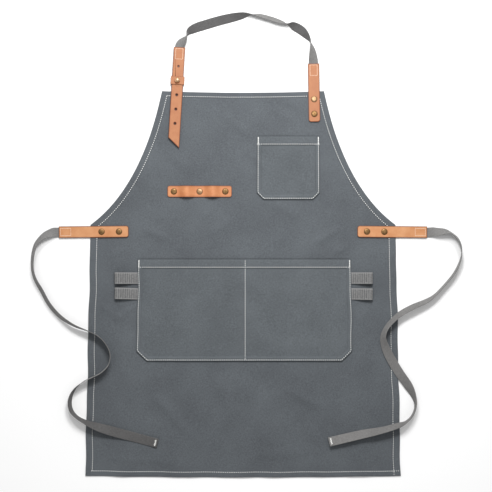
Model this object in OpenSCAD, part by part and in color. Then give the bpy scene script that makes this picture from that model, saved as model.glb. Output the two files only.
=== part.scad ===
// Work apron of hemmed canvas with leather tabs, webbing ties and an adjustable neck loop, laid flat face up.
// Millimetres. +Y points to the neck and +Z out of the front. The origin is on the waist line, at the underside.

/* [Body panel] */
// Width of the straight top edge of the bib
top_w = 340; // [300:5:410]
// Width between the two waist corners
waist_w = 640; // [560:5:780]
// Width of the bottom hem
bottom_w = 662; // [560:5:780]
// Height of the bib above the waist corners
bib_h = 279; // [240:1:340]
// Height of the skirt below the waist corners
skirt_h = 528; // [430:1:640]
// Height of the waist corners above the line of the waist tabs
waist_rise = 14; // [13:1:24]
// How far out the armhole curve's control point stands, as a share of the way from top corner to waist corner
armhole_out = 0.29; // [0.1:0.01:0.5]
// How far up the armhole curve's control point stands, as a share of the bib's height
armhole_up = 0.28; // [0.15:0.01:0.5]
// Thickness of one layer of canvas
canvas_t = 1.0; // [0.8:0.1:1.4]

/* [Hems] */
// Thickness of a turned and pressed hem
hem_t = 2.4; // [2:0.1:3]
// Distance of the side hem's stitching from the edge
side_hem = 14; // [8:1:20]
// Distance of the bottom hem's stitching from the edge
bottom_hem = 11; // [8:1:20]
// Distance of the top hem's stitching from the edge
top_hem = 9.5; // [7:0.5:20]
// Distance of the armhole hem's stitching from the edge
armhole_hem = 12; // [8:1:20]
// Width of cloth between a hem's stitching and its inner fold
stitch_margin = 1.5; // [1:0.5:3]
// Width of a line of topstitching
thread_w = 0.8; // [0.5:0.1:1.2]
// Height that topstitching stands above what it is sewn to
thread_h = 0.3; // [0.2:0.1:0.5]

/* [Bib pocket] */
// Width of the bib pocket
bib_pocket_w = 131; // [90:1:150]
// Height of the bib pocket
bib_pocket_h = 132; // [90:1:160]
// Distance of the bib pocket's middle from the centre line
bib_pocket_x = 95; // [70:1:105]
// Distance of the bib pocket's mouth below the top edge
bib_pocket_drop = 94; // [75:1:120]
// Height and width of the bib pocket's two cut lower corners
bib_pocket_chamfer = 14; // [8:1:24]

/* [Lower pocket] */
// Width of the lower pocket
lower_pocket_w = 450; // [340:5:500]
// Height of the lower pocket
lower_pocket_h = 213; // [160:1:260]
// Offset of the lower pocket's middle from the centre line
lower_pocket_x = 3; // [0:1:6]
// Distance of the lower pocket's mouth below the waist line
lower_pocket_drop = 59; // [40:1:80]
// Height and width of the lower pocket's two cut lower corners
lower_pocket_chamfer = 24; // [12:1:36]

/* [Pocket make] */
// Width of the sewn border round a pocket
seam_w = 6; // [4:0.5:9]
// Thickness of the sewn border, where the edge is turned under
seam_t = 2.0; // [1.6:0.1:2.6]
// Free height inside a pocket
pocket_gap = 5.5; // [5:0.5:9]
// Width over which the pocket rises from its seam
pocket_slope = 18; // [10:1:26]
// Distance of the mouth hem's stitching below the mouth
mouth_hem = 16; // [10:1:24]

/* [Webbing loops] */
// Width of the loops' webbing
loop_w = 24; // [16:1:30]
// Length that a loop stands out from the pocket's side
loop_l = 47; // [36:1:56]
// Height of a loop at its outer fold
loop_rise = 10; // [9:0.5:14]
// Free space between the two loops on one side
loop_space = 9; // [4:1:14]
// Distance of the upper loop below the pocket's mouth
loop_drop = 27; // [18:1:40]
// Length sewn together where a loop meets the pocket
loop_root = 8; // [5:1:12]

/* [Leather] */
// Width of the leather tabs and straps
leather_w = 24; // [20:1:30]
// Thickness of the leather
leather_t = 2.2; // [1.8:0.1:2.8]
// Corner radius of the leather's ends
leather_r = 3; // [1:0.5:5]
// Height of the two arches of the tool strap
arch_h = 7; // [6:0.5:10]
// Distance between the tool strap's rivets
arch_pitch = 54; // [44:1:66]
// Distance from an end rivet to the tool strap's end
arch_end = 13.5; // [10:0.5:18]
// Distance of the tool strap's middle from the centre line, to the wearer's right
tool_strap_x = 91; // [84:1:110]
// Height of the tool strap above the waist line
tool_strap_y = 84; // [60:1:120]

/* [Webbing] */
// Width of the neck and tie webbing
webbing_w = 20; // [16:1:23]
// Thickness of the webbing
webbing_t = 1.4; // [1:0.1:1.8]
// Length of webbing sewn under a leather end
webbing_lap = 28; // [20:1:36]

/* [Waist tabs] */
// Length of a waist tab
waist_tab_l = 146; // [120:1:180]
// Length of a waist tab beyond the side edge
waist_tab_reach = 66; // [50:1:80]
// Distance of a waist tab's inner rivet from its inner end
waist_rivet_end = 20; // [10:1:28]
// Distance between a waist tab's rivets
waist_rivet_pitch = 36.5; // [24:0.5:42]
// Angle by which a waist tab's outer end droops
waist_tab_droop = 0.6; // [0:0.1:2]

/* [Neck tab] */
// Length of the neck tab
neck_tab_l = 122; // [100:1:150]
// Distance of the neck tab's middle from the bib's top corner
neck_tab_inset = 20; // [15:0.5:30]
// Length of the neck tab below the top edge
neck_tab_drop = 63; // [54:1:74]
// Distance of the neck tab's lower rivet from its lower end
neck_rivet_end = 16.5; // [10:0.5:20]
// Distance between the neck tab's rivets
neck_rivet_pitch = 31; // [20:1:34]
// Lean of the neck tab
neck_tab_lean = 1; // [0:0.1:3]

/* [Adjusting strap] */
// Distance of the stud inside the bib's top corner
stud_inset = 33; // [22:1:44]
// Height of the stud above the top edge
stud_rise = 23; // [20:1:30]
// Lean of the adjusting strap
strap_lean = 3.5; // [0:0.5:6]
// Distance between two holes of the adjusting strap
hole_pitch = 30; // [25:1:34]
// Number of spare holes above the stud
holes_above = 1; // [1:1:1]
// Number of spare holes below the stud
holes_below = 3; // [1:1:3]
// Radius of the adjusting strap's holes
hole_r = 2.3; // [2.2:0.1:3]
// Length of the adjusting strap above the stud
strap_up = 70; // [68:1:90]
// Length of the adjusting strap below the stud, to its tip
strap_down = 141; // [130:1:180]
// Length of the slanting cut at the tip
tip_cut = 21; // [10:1:30]
// Length of the hidden anchor tab below the stud
anchor_down = 92; // [80:1:110]
// Length of the hidden anchor tab above the stud
anchor_up = 10; // [9:0.5:12]
// Distance of the anchor tab's lower rivet from its lower end
anchor_rivet_end = 15; // [10:1:20]
// Distance between the anchor tab's rivets
anchor_rivet_pitch = 31; // [20:1:36]
// Width of the keeper, along the strap
keeper_w = 17; // [13:1:17]
// Thickness of the keeper's leather
keeper_t = 1.8; // [1.4:0.1:2]

/* [Rivets and stud] */
// Radius of a rivet's domed cap
cap_r = 6.2; // [5:0.1:7]
// Height of a rivet's domed cap
cap_h = 1.9; // [1.4:0.1:2.6]
// Height of the anchor rivets' low caps, which the strap runs over
low_cap_h = 1.0; // [0.8:0.1:1.4]
// Radius of a rivet's tubular shank
shank_r = 1.9; // [1.6:0.1:2.2]
// Radius of a rivet's post
post_r = 1.2; // [0.9:0.1:1.3]
// Radius of a rivet's back plate
back_r = 5; // [4:0.1:6]
// Thickness of a rivet's back plate
back_t = 0.6; // [0.4:0.1:0.7]
// Radius of the stud's ball
ball_r = 5; // [4:0.1:6]
// Radius of the stud's neck
neck_r = 1.9; // [1.7:0.1:2]
// Radius of the stud's screw
screw_r = 1.1; // [0.9:0.1:1.2]

/* [Clearances] */
// Radial clearance round a shank, a post or a screw
fit = 0.1; // [0.05:0.05:0.2]
// Clearance between the adjusting strap and what it slides through
slide_gap = 0.3; // [0.2:0.05:0.5]

/* [Hidden] */
$fn = 48;

canvas_grey = "#5f6469";
webbing_grey = "#6f7072";
thread_white = "#d9d8d2";
tan_leather = "#d69a73";
old_brass = "#8d7440";

curve_steps = 24;        // straight pieces in one armhole curve
over = 1;                // how far a cut runs past the face that it opens
straight_limit = 0.001;  // two edges that turn by less than this are one line

top_y = waist_rise + bib_h;
bottom_y = waist_rise - skirt_h;
tab_z = hem_t;                                  // underside of the riveted tabs
tab_top = tab_z + leather_t;                     // what the tabs' rivet caps sit on
seat_z = canvas_t + leather_t;                   // what the tool strap's rivet caps sit on
strap_z = tab_top + low_cap_h + slide_gap;       // underside of the adjusting strap
keeper_top = strap_z + leather_t + slide_gap;
ball_z = keeper_top + keeper_t + slide_gap;      // underside of the stud's ball
box_l = webbing_lap - 6;                         // length of a box of stitching
box_w = webbing_w - 5;
box_edge = 3;                                    // distance of a box of stitching from the leather's end
keeper_z = tab_z - keeper_t;                     // underside of the keeper
screw_plate_r = 4.5;
screw_plate_t = 0.6;
seat = cap_r + 1;                                // half of the flat length under a rivet's cap
cap_rim = 0.45;                                  // share of a cap's height that is its upright rim
post_depth = 0.3;                                // share of a cap's height that its post reaches into
ball_flat = 0.86;                                // the ball's middle above its flat, as a share of its radius
arch_steps = 14;                                 // straight pieces in one arch of the tool strap
skin = 0.01;                                     // thickness of the layers that a pocket's shape spans
webbing_cut = 0.4;                               // width of the webbing's bevelled edges

// ---- outlines ----

function armhole(t) =
    let (a = [top_w / 2, top_y],
         c = [waist_w / 2, waist_rise],
         b = [a.x + armhole_out * (c.x - a.x), c.y + armhole_up * bib_h])
    (1 - t) * (1 - t) * a + 2 * t * (1 - t) * b + t * t * c;

function flipped(points) = [for (i = [len(points) - 1:-1:0]) [-points[i].x, points[i].y]];

// The body's outline, anticlockwise from the lower left corner
function body_outline() =
    let (right = concat([[bottom_w / 2, bottom_y]], [for (i = [curve_steps:-1:0]) armhole(i / curve_steps)]))
    concat([[-bottom_w / 2, bottom_y]], right, [for (i = [0:curve_steps]) [-armhole(i / curve_steps).x,
        armhole(i / curve_steps).y]]);

// Distance of the stitching from each edge of the outline, in the outline's order
function hem_widths(more) =
    let (curve = [for (i = [1:curve_steps]) armhole_hem + more])
    concat([bottom_hem + more, side_hem + more], curve, [top_hem + more], curve, [side_hem + more]);

function unit(v) = v / norm(v);
function inward(a, b) = let (u = unit(b - a)) [-u.y, u.x];

// Each corner of an anticlockwise outline moved in, by its own distance from each edge
function inset(path, widths) =
    let (n = len(path))
    [for (i = [0:n - 1])
        let (before = (i + n - 1) % n,
             u = inward(path[before], path[i]),
             v = inward(path[i], path[(i + 1) % n]),
             p = widths[before],
             q = widths[i],
             turn = u.x * v.y - u.y * v.x)
        abs(turn) < straight_limit
            ? path[i] + v * q
            : path[i] + [p * v.y - q * u.y, q * u.x - p * v.x] / turn];

// A pocket's outline with its two lower corners cut, anticlockwise from the lower left
function pocket_outline(w, h, cut) = [
    [-w / 2 + cut, -h], [w / 2 - cut, -h], [w / 2, -h + cut], [w / 2, 0], [-w / 2, 0], [-w / 2, -h + cut]
];

module rounded_rect(w, h, r) {
    square([w - 2 * r, h], center = true);
    square([w, h - 2 * r], center = true);
    for (x = [-1, 1], y = [-1, 1])
        translate([x * (w / 2 - r), y * (h / 2 - r)]) circle(r);
}

// ---- places: a tab's frame has +Y towards its webbing and its origin at its riveted end ----

module at_neck_tab() {
    translate([top_w / 2 - neck_tab_inset, top_y - neck_tab_drop, 0]) rotate([0, 0, neck_tab_lean]) children();
}

// side is -1 on the left and 1 on the right
module at_waist_tab(side) {
    translate([side * (waist_w / 2 + waist_tab_reach - waist_tab_l), 0, 0])
        rotate([0, 0, -side * (90 + waist_tab_droop)]) children();
}

module at_stud() {
    translate([-top_w / 2 + stud_inset, top_y + stud_rise, 0]) rotate([0, 0, -strap_lean]) children();
}

module at_tool_strap() {
    translate([-tool_strap_x, tool_strap_y, 0]) children();
}

module neck_rivet_places() {
    at_neck_tab() for (i = [0, 1]) translate([0, neck_rivet_end + i * neck_rivet_pitch, 0]) children();
}

module waist_rivet_places(side) {
    at_waist_tab(side) for (i = [0, 1]) translate([0, waist_rivet_end + i * waist_rivet_pitch, 0]) children();
}

module anchor_rivet_places() {
    at_stud() for (i = [0, 1])
        translate([0, -anchor_down + anchor_rivet_end + i * anchor_rivet_pitch, 0]) children();
}

module tool_rivet_places() {
    at_tool_strap() for (i = [-1:1]) translate([i * arch_pitch, 0, 0]) children();
}

module all_rivet_places() {
    neck_rivet_places() children();
    waist_rivet_places(-1) children();
    waist_rivet_places(1) children();
    anchor_rivet_places() children();
    tool_rivet_places() children();
}

// ---- rivets ----

// A domed cap's outline from its middle to its rim. h is the cap's height
function cap_profile(h) =
    let (rim = h * cap_rim)
    concat([[0, 0], [cap_r, 0]], [for (a = [0:15:90]) [cap_r * cos(a), rim + (h - rim) * sin(a)]]);

// A domed cap with its tubular shank. z is what the cap sits on
module rivet_cap(z, h) {
    color(old_brass) difference() {
        union() {
            translate([0, 0, back_t]) cylinder(r = shank_r, h = z - back_t + h * cap_rim);
            translate([0, 0, z]) rotate_extrude() polygon(cap_profile(h));
        }
        translate([0, 0, back_t - over]) cylinder(r = post_r + fit / 2, h = z - back_t + over + h * post_depth);
    }
}

module rivet_post(z, h) {
    color(old_brass) {
        cylinder(r = back_r, h = back_t);
        cylinder(r = post_r, h = z + h * post_depth - fit);
    }
}

module rivet_hole(r) {
    translate([0, 0, -over]) cylinder(r = r, h = strap_z + 2 * over);
}

// ---- canvas ----

// The outlines of the four tabs that are riveted to the body
module tab_outlines() {
    at_neck_tab() tab_outline(neck_tab_l);
    for (side = [-1, 1]) at_waist_tab(side) tab_outline(waist_tab_l);
    at_stud() translate([0, -anchor_down, 0]) tab_outline(anchor_down + anchor_up);
}

// The hem all round, and a patch of folded canvas under each riveted tab
module thick_outline(outline) {
    difference() {
        polygon(outline);
        polygon(inset(outline, hem_widths(stitch_margin)));
    }
    intersection() {
        polygon(outline);
        tab_outlines();
    }
}

module body_panel() {
    outline = body_outline();
    color(canvas_grey) difference() {
        union() {
            linear_extrude(canvas_t) polygon(outline);
            linear_extrude(hem_t) thick_outline(outline);
        }
        all_rivet_places() {
            rivet_hole(shank_r + fit);
            translate([0, 0, -over]) cylinder(r = back_r + fit, h = back_t + over);
        }
    }
}

module body_topstitch() {
    outline = body_outline();
    color(thread_white) translate([0, 0, hem_t]) linear_extrude(thread_h) difference() {
        polygon(inset(outline, hem_widths(-thread_w / 2)));
        polygon(inset(outline, hem_widths(thread_w / 2)));
        tab_outlines();
    }
}

// ---- pockets: each has its origin at the middle of its mouth ----

// A pocket cell's outline moved in by width, except at its mouth, which moves out by past
function cell_inset(cell, width, past) =
    let (n = len(cell))
    inset(cell, [for (i = [0:n - 1]) cell[i].y == 0 && cell[(i + 1) % n].y == 0 ? -past : width]);

// A cell's raised shape. foot moves its foot in, and past lengthens it beyond the mouth
module cell_rise(cell, foot, rise, past) {
    hull() {
        linear_extrude(skin) polygon(cell_inset(cell, seam_w + foot, past));
        translate([0, 0, rise - skin]) linear_extrude(skin)
            polygon(cell_inset(cell, seam_w + pocket_slope, past));
    }
}

// One cell's cloth, an even thickness all over and open at its mouth
module cell_cloth(cell) {
    difference() {
        cell_rise(cell, 0, pocket_gap + canvas_t, 0);
        cell_rise(cell, pocket_slope * canvas_t / (pocket_gap + canvas_t), pocket_gap, over);
    }
}

// The sewn border that the cells rise from
module pocket_border(outline, cells) {
    linear_extrude(seam_t) difference() {
        polygon(outline);
        for (cell = cells) polygon(cell_inset(cell, seam_w, over));
    }
}

module pocket(outline, cells) {
    color(canvas_grey) translate([0, 0, canvas_t]) {
        pocket_border(outline, cells);
        for (cell = cells) cell_cloth(cell);
    }
}

// A line of stitching round the sides and the bottom, and one along each cell's mouth hem
module pocket_topstitch(outline, cells) {
    color(thread_white) translate([0, 0, canvas_t]) {
        translate([0, 0, seam_t]) linear_extrude(thread_h) difference() {
            polygon(cell_inset(outline, (seam_w - thread_w) / 2, 0));
            polygon(cell_inset(outline, (seam_w + thread_w) / 2, over));
        }
        for (cell = cells)
            translate([0, 0, pocket_gap + canvas_t]) linear_extrude(thread_h) intersection() {
                polygon(cell_inset(cell, seam_w + pocket_slope, 0));
                translate([-waist_w / 2, -mouth_hem - thread_w / 2]) square([waist_w, thread_w]);
            }
    }
}

module at_bib_pocket() {
    translate([bib_pocket_x, top_y - bib_pocket_drop, 0]) children();
}

module at_lower_pocket() {
    translate([lower_pocket_x, -lower_pocket_drop, 0]) children();
}

bib_pocket_shape = pocket_outline(bib_pocket_w, bib_pocket_h, bib_pocket_chamfer);
lower_pocket_shape = pocket_outline(lower_pocket_w, lower_pocket_h, lower_pocket_chamfer);

// The lower pocket's two cells, either side of its middle seam, which the cells share
right_cell = [
    [0, -lower_pocket_h], [lower_pocket_w / 2 - lower_pocket_chamfer, -lower_pocket_h],
    [lower_pocket_w / 2, -lower_pocket_h + lower_pocket_chamfer], [lower_pocket_w / 2, 0], [0, 0]
];
lower_cells = [right_cell, flipped(right_cell)];

module bib_pocket() {
    at_bib_pocket() pocket(bib_pocket_shape, [bib_pocket_shape]);
}

module bib_pocket_topstitch() {
    at_bib_pocket() pocket_topstitch(bib_pocket_shape, [bib_pocket_shape]);
}

module lower_pocket() {
    at_lower_pocket() pocket(lower_pocket_shape, lower_cells);
}

module lower_pocket_topstitch() {
    at_lower_pocket() pocket_topstitch(lower_pocket_shape, lower_cells);
    color(thread_white) at_lower_pocket() translate([0, 0, canvas_t + seam_t]) linear_extrude(thread_h)
        translate([-thread_w / 2, -lower_pocket_h + seam_w]) square([thread_w, lower_pocket_h - seam_w]);
}

// ---- webbing loops ----

// The loop's side view: u runs away from the pocket. grow is how far in the line is from the outside
function loop_profile(grow) =
    let (r = loop_rise / 2,
         start = grow == 0 ? [[0, 0]] : [],
         finish = grow == 0 ? [[loop_root, 2 * webbing_t], [0, 2 * webbing_t]] : [[loop_root, webbing_t]])
    concat(start, [for (a = [-90:15:105]) [loop_l - r + (r - grow) * cos(a), r + (r - grow) * sin(a)]], finish);

// side is -1 on the left and 1 on the right, and row counts the loops down from the mouth
module loop(side, row) {
    middle = loop_drop + loop_w / 2 + row * (loop_w + loop_space);
    color(webbing_grey) at_lower_pocket() translate([side * lower_pocket_w / 2, -middle, canvas_t])
        rotate([90, 0, 0]) linear_extrude(loop_w, center = true) mirror([side < 0 ? 1 : 0, 0]) difference() {
            polygon(loop_profile(0));
            polygon(loop_profile(webbing_t));
        }
}

// ---- leather ----

// A tab's outline: rounded at its riveted end, at y = 0, and square where its webbing comes out
module tab_outline(length) {
    translate([0, length / 2]) rounded_rect(leather_w, length, leather_r);
    translate([-leather_w / 2, length - leather_r]) square([leather_w, leather_r]);
}

module tab_plate(length) {
    color(tan_leather) translate([0, 0, tab_z]) linear_extrude(leather_t) tab_outline(length);
}

// A box of stitching near the end at y = length, on top of what is at z
module box_stitch(length, z) {
    color(thread_white) translate([0, length - box_edge - box_l / 2, z])
        linear_extrude(thread_h) difference() {
            square([box_w, box_l], center = true);
            square([box_w - 2 * thread_w, box_l - 2 * thread_w], center = true);
        }
}

module neck_tab() {
    difference() {
        at_neck_tab() tab_plate(neck_tab_l);
        neck_rivet_places() rivet_hole(shank_r + fit);
    }
}

module neck_tab_box_stitch() {
    at_neck_tab() box_stitch(neck_tab_l, tab_top);
}

module waist_tab(side) {
    difference() {
        at_waist_tab(side) tab_plate(waist_tab_l);
        waist_rivet_places(side) rivet_hole(shank_r + fit);
    }
}

module waist_box_stitch(side) {
    at_waist_tab(side) box_stitch(waist_tab_l, tab_top);
}

module anchor_tab() {
    difference() {
        at_stud() translate([0, -anchor_down, 0]) tab_plate(anchor_down + anchor_up);
        anchor_rivet_places() rivet_hole(shank_r + fit);
        at_stud() rivet_hole(screw_r + fit);
    }
}

// Height of the tool strap's underside above its seats. u is the distance from the middle of an arch
function arch_rise(u) =
    let (half = arch_pitch / 2 - seat)
    abs(u) >= half ? 0 : arch_h * (1 + cos(180 * u / half)) / 2;

module tool_strap() {
    half = arch_pitch / 2 - seat;
    reach = arch_pitch + arch_end;
    line = concat([[-reach, 0]],
        [for (m = [-1, 1], i = [0:arch_steps])
            let (u = half * (2 * i / arch_steps - 1))
            [m * arch_pitch / 2 + u, arch_rise(u)]],
        [[reach, 0]]);
    count = len(line);
    profile = concat(line, [for (i = [count - 1:-1:0]) [line[i].x, line[i].y + leather_t]]);
    color(tan_leather) difference() {
        at_tool_strap() intersection() {
            translate([0, 0, canvas_t]) rotate([90, 0, 0])
                linear_extrude(leather_w + over, center = true) polygon(profile);
            linear_extrude(canvas_t + arch_h + leather_t + over) rounded_rect(2 * reach, leather_w, leather_r);
        }
        tool_rivet_places() rivet_hole(shank_r + fit);
    }
}

module adjusting_strap() {
    half = leather_w / 2;
    color(tan_leather) at_stud() difference() {
        translate([0, 0, strap_z]) linear_extrude(leather_t)
            polygon([[-half, strap_up], [-half, tip_cut - strap_down], [half, -strap_down], [half, strap_up]]);
        for (i = [-holes_below:holes_above])
            translate([0, i * hole_pitch, strap_z - over]) cylinder(r = hole_r, h = leather_t + 2 * over);
    }
}

module adjusting_strap_box_stitch() {
    at_stud() box_stitch(strap_up, strap_z + leather_t);
}

// A leather band round the anchor tab and the adjusting strap, held by the stud
module keeper_loop() {
    inside = leather_w / 2 + slide_gap;
    color(tan_leather) at_stud() difference() {
        rotate([90, 0, 0]) linear_extrude(keeper_w, center = true) difference() {
            translate([-inside - keeper_t, keeper_z])
                square([2 * (inside + keeper_t), keeper_top + keeper_t - keeper_z]);
            translate([-inside, tab_z]) square([2 * inside, keeper_top - tab_z]);
        }
        translate([0, 0, keeper_z - over]) cylinder(r = screw_plate_r + fit, h = screw_plate_t + over);
        translate([0, 0, keeper_z]) cylinder(r = screw_r + fit, h = keeper_t + over);
        translate([0, 0, keeper_top - over]) cylinder(r = hole_r, h = keeper_t + 2 * over);
    }
}

// ---- stud ----

module stud_head() {
    middle = ball_z + ball_flat * ball_r;
    color(old_brass) at_stud() difference() {
        union() {
            translate([0, 0, tab_top]) cylinder(r = neck_r, h = ball_z + over - tab_top);
            intersection() {
                translate([0, 0, middle]) sphere(r = ball_r);
                translate([0, 0, ball_z]) cylinder(r = ball_r + over, h = 2 * ball_r);
            }
        }
        translate([0, 0, tab_top - over]) cylinder(r = screw_r + fit / 2, h = ball_z - tab_top + 2 * over);
    }
}

module stud_screw() {
    color(old_brass) at_stud() translate([0, 0, keeper_z]) {
        cylinder(r = screw_plate_r, h = screw_plate_t);
        cylinder(r = screw_r, h = ball_z - keeper_z);
    }
}

// ---- webbing ----
// A route's points are x, y, the height of the webbing's lowest edge, and its roll in degrees: 0 lies flat,
// and a positive roll lifts the edge on the left of the way it runs. 90 stands it on edge.

left_tie_route = [
    [-358, -1, tab_z - webbing_t, 0], [-387, -2, tab_z - webbing_t, 0], [-397, -2, 0.6, 15],
    [-405, -4, 0, 40], [-415, -8, 0, 65], [-425, -16, 0, 90], [-434, -28, 0, 115], [-439, -45, 0, 125],
    [-441, -64, 0, 115], [-440, -83, 0, 93], [-434, -102, 0, 90], [-422, -123, 0, 90], [-406, -152, 0, 90],
    [-384, -177, 0, 90], [-355, -196, 3, 90], [-325, -208, 3, 88], [-304, -218, 3, 84], [-288, -234, 3, 80],
    [-278, -256, 3, 80], [-281, -278, 3, 84], [-296, -295, 3, 88], [-317, -306, 3, 90], [-335, -315, 3, 90],
    [-353, -331, 0, 100], [-362, -352, 0, 115], [-360, -373, 0, 112], [-347, -388, 3, 100],
    [-330, -398, 3, 108], [-309, -407, 3, 120], [-279, -417, 3, 140], [-237, -429, 3, 150], [-179, -444, 3, 157]
];

right_tie_route = [
    [358, -1, tab_z - webbing_t, 0], [387, -2, tab_z - webbing_t, 0], [398, -1, 0.6, -12], [408, -1, 0, -30],
    [424, 0, 0, -58], [437, -4, 0, -78], [449, -15, 0, -72], [456, -31, 0, -72], [457, -49, 0, -82],
    [453, -66, 0, -90], [441, -89, 0, -92], [421, -113, 0, -92], [401, -134, 0, -97], [383, -146, 0, -110],
    [357, -157, 3, -117], [331, -171, 3, -117], [312, -187, 3, -113], [298, -205, 3, -110],
    [293, -223, 3, -120], [299, -245, 3, -142], [312, -271, 3, -160], [328, -297, 3, -158],
    [346, -323, 3, -148], [357, -345, 0, -125], [361, -364, 0, -100], [355, -384, 0, -92],
    [341, -398, 3, -93], [326, -405, 3, -112], [293, -415, 3, -122], [247, -425, 3, -146], [180, -441, 3, -155]
];

neck_route = [
    [-134, 358, strap_z - webbing_t, 0], [-132.2, 388, strap_z - webbing_t, 0], [-129, 394, 4, -12],
    [-123, 402, 1.5, -45], [-117, 411, 0, -88], [-112, 419, 0, -125], [-98, 427, 0, -148],
    [-80, 433, 0, -155], [-53, 441, 0, -155],
    [-27, 447, 0, -148], [0, 452, 0, -120], [17, 454, 0, -97], [35, 452, 0, -90], [57, 446, 0, -90],
    [75, 440, 0, -90], [93, 434, 0, -102], [106, 430, 0, -138], [121, 422, 0, -148], [132, 411, 0, -125],
    [141, 398, 0, -90], [145, 384, 0, -58], [147, 367, 0.5, -28], [147.8, 352, tab_z - webbing_t, 0],
    [148.3, 324, tab_z - webbing_t, 0]
];

// Half the height of the webbing at a roll
function half_height(roll) = abs(cos(roll)) * webbing_t / 2 + abs(sin(roll)) * webbing_w / 2;

function heading(route, i) =
    let (a = route[max(i - 1, 0)], b = route[min(i + 1, len(route) - 1)])
    unit([b[0] - a[0], b[1] - a[1], 0]);

// The webbing's section at one point of its route: eight corners of a bevelled strip
function webbing_ring(route, i) =
    let (p = route[i],
         way = heading(route, i),
         left = [-way.y, way.x, 0],
         wide = cos(p[3]) * left + [0, 0, sin(p[3])],
         thick = [0, 0, cos(p[3])] - sin(p[3]) * left,
         a = webbing_w / 2,
         b = webbing_t / 2,
         c = webbing_cut,
         middle = [p[0], p[1], p[2] + half_height(p[3])])
    [for (u = [[a, c - b], [a, b - c], [a - c, b], [c - a, b]])
        middle + u.x * wide + u.y * thick,
     for (u = [[a, c - b], [a, b - c], [a - c, b], [c - a, b]])
        middle - u.x * wide - u.y * thick];

module webbing(route) {
    rings = len(route);
    sides = 8;
    points = [for (i = [0:rings - 1]) each webbing_ring(route, i)];
    // the two broad faces are split along the same diagonal, so a twist keeps the strip's thickness
    walls = [for (i = [0:rings - 2], j = [0:sides - 1])
        let (a = i * sides + j, b = i * sides + (j + 1) % sides)
        each j < sides / 2
            ? [[a, b, b + sides], [a, b + sides, a + sides]]
            : [[a, b, a + sides], [b, b + sides, a + sides]]];
    near_end = [for (j = [sides - 1:-1:0]) j];
    far_end = [for (j = [0:sides - 1]) (rings - 1) * sides + j];
    color(webbing_grey) polyhedron(points = points, faces = concat(walls, [near_end, far_end]));
}

// ---- nodes ----

body_panel();
body_topstitch();
bib_pocket();
bib_pocket_topstitch();
lower_pocket();
lower_pocket_topstitch();
loop(-1, 0);  // left_upper_loop
loop(-1, 1);  // left_lower_loop
loop(1, 0);  // right_upper_loop
loop(1, 1);  // right_lower_loop
tool_strap();
tool_rivet_places() rivet_cap(seat_z, cap_h);  // tool_strap_rivet_caps
tool_rivet_places() rivet_post(seat_z, cap_h);  // tool_strap_rivet_posts
neck_tab();
neck_rivet_places() rivet_cap(tab_top, cap_h);  // neck_tab_rivet_caps
neck_rivet_places() rivet_post(tab_top, cap_h);  // neck_tab_rivet_posts
neck_tab_box_stitch();
waist_tab(-1);  // left_waist_tab
waist_rivet_places(-1) rivet_cap(tab_top, cap_h);  // left_waist_rivet_caps
waist_rivet_places(-1) rivet_post(tab_top, cap_h);  // left_waist_rivet_posts
waist_box_stitch(-1);  // left_waist_box_stitch
waist_tab(1);  // right_waist_tab
waist_rivet_places(1) rivet_cap(tab_top, cap_h);  // right_waist_rivet_caps
waist_rivet_places(1) rivet_post(tab_top, cap_h);  // right_waist_rivet_posts
waist_box_stitch(1);  // right_waist_box_stitch
anchor_tab();
anchor_rivet_places() rivet_cap(tab_top, low_cap_h);  // anchor_rivet_caps
anchor_rivet_places() rivet_post(tab_top, low_cap_h);  // anchor_rivet_posts
keeper_loop();
stud_head();
stud_screw();
adjusting_strap();
adjusting_strap_box_stitch();
webbing(neck_route);  // neck_webbing
webbing(left_tie_route);  // left_tie
webbing(right_tie_route);  // right_tie
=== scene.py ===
# Work apron laid flat, face up: canvas body and pockets, tan leather tabs and straps, brass rivets,
# and webbing for the neck, the ties and the pocket's loops. Sizes are in mm, meshes in metres.
import bpy
import math
import numpy as np
from mathutils import Matrix, Vector


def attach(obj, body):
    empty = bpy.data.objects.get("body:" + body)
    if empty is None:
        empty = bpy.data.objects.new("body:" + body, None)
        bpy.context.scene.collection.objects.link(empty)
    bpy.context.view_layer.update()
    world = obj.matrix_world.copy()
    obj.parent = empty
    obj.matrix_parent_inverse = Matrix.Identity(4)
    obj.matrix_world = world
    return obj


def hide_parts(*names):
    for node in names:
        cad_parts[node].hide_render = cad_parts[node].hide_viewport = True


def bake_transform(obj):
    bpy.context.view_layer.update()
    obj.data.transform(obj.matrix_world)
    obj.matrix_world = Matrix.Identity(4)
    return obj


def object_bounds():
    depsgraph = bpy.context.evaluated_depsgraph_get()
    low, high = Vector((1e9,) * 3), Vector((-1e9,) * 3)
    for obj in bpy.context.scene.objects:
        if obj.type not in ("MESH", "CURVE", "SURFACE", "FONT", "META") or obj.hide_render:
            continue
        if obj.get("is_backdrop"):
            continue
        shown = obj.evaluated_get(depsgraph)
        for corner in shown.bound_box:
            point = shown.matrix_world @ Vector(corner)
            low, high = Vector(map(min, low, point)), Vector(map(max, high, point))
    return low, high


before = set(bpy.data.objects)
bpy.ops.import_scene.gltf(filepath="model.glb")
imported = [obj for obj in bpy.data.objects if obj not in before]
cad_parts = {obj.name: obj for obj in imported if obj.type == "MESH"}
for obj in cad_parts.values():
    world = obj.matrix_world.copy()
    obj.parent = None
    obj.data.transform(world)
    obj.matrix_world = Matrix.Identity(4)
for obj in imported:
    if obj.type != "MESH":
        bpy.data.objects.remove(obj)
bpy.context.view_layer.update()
mm = 0.001
view = {"middleX": 6.3, "middleY": -30.5, "height": 2440, "lens": 85, "sensor": 36}

camera = bpy.data.objects.new("camera", bpy.data.cameras.new("camera"))
bpy.context.scene.collection.objects.link(camera)
camera.location = (view["middleX"] * mm, view["middleY"] * mm, view["height"] * mm)
camera.data.lens = view["lens"]
camera.data.sensor_width = view["sensor"]
bpy.context.scene.camera = camera
bpy.context.scene.view_settings.view_transform = "Standard"
print("camera ready")


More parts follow.
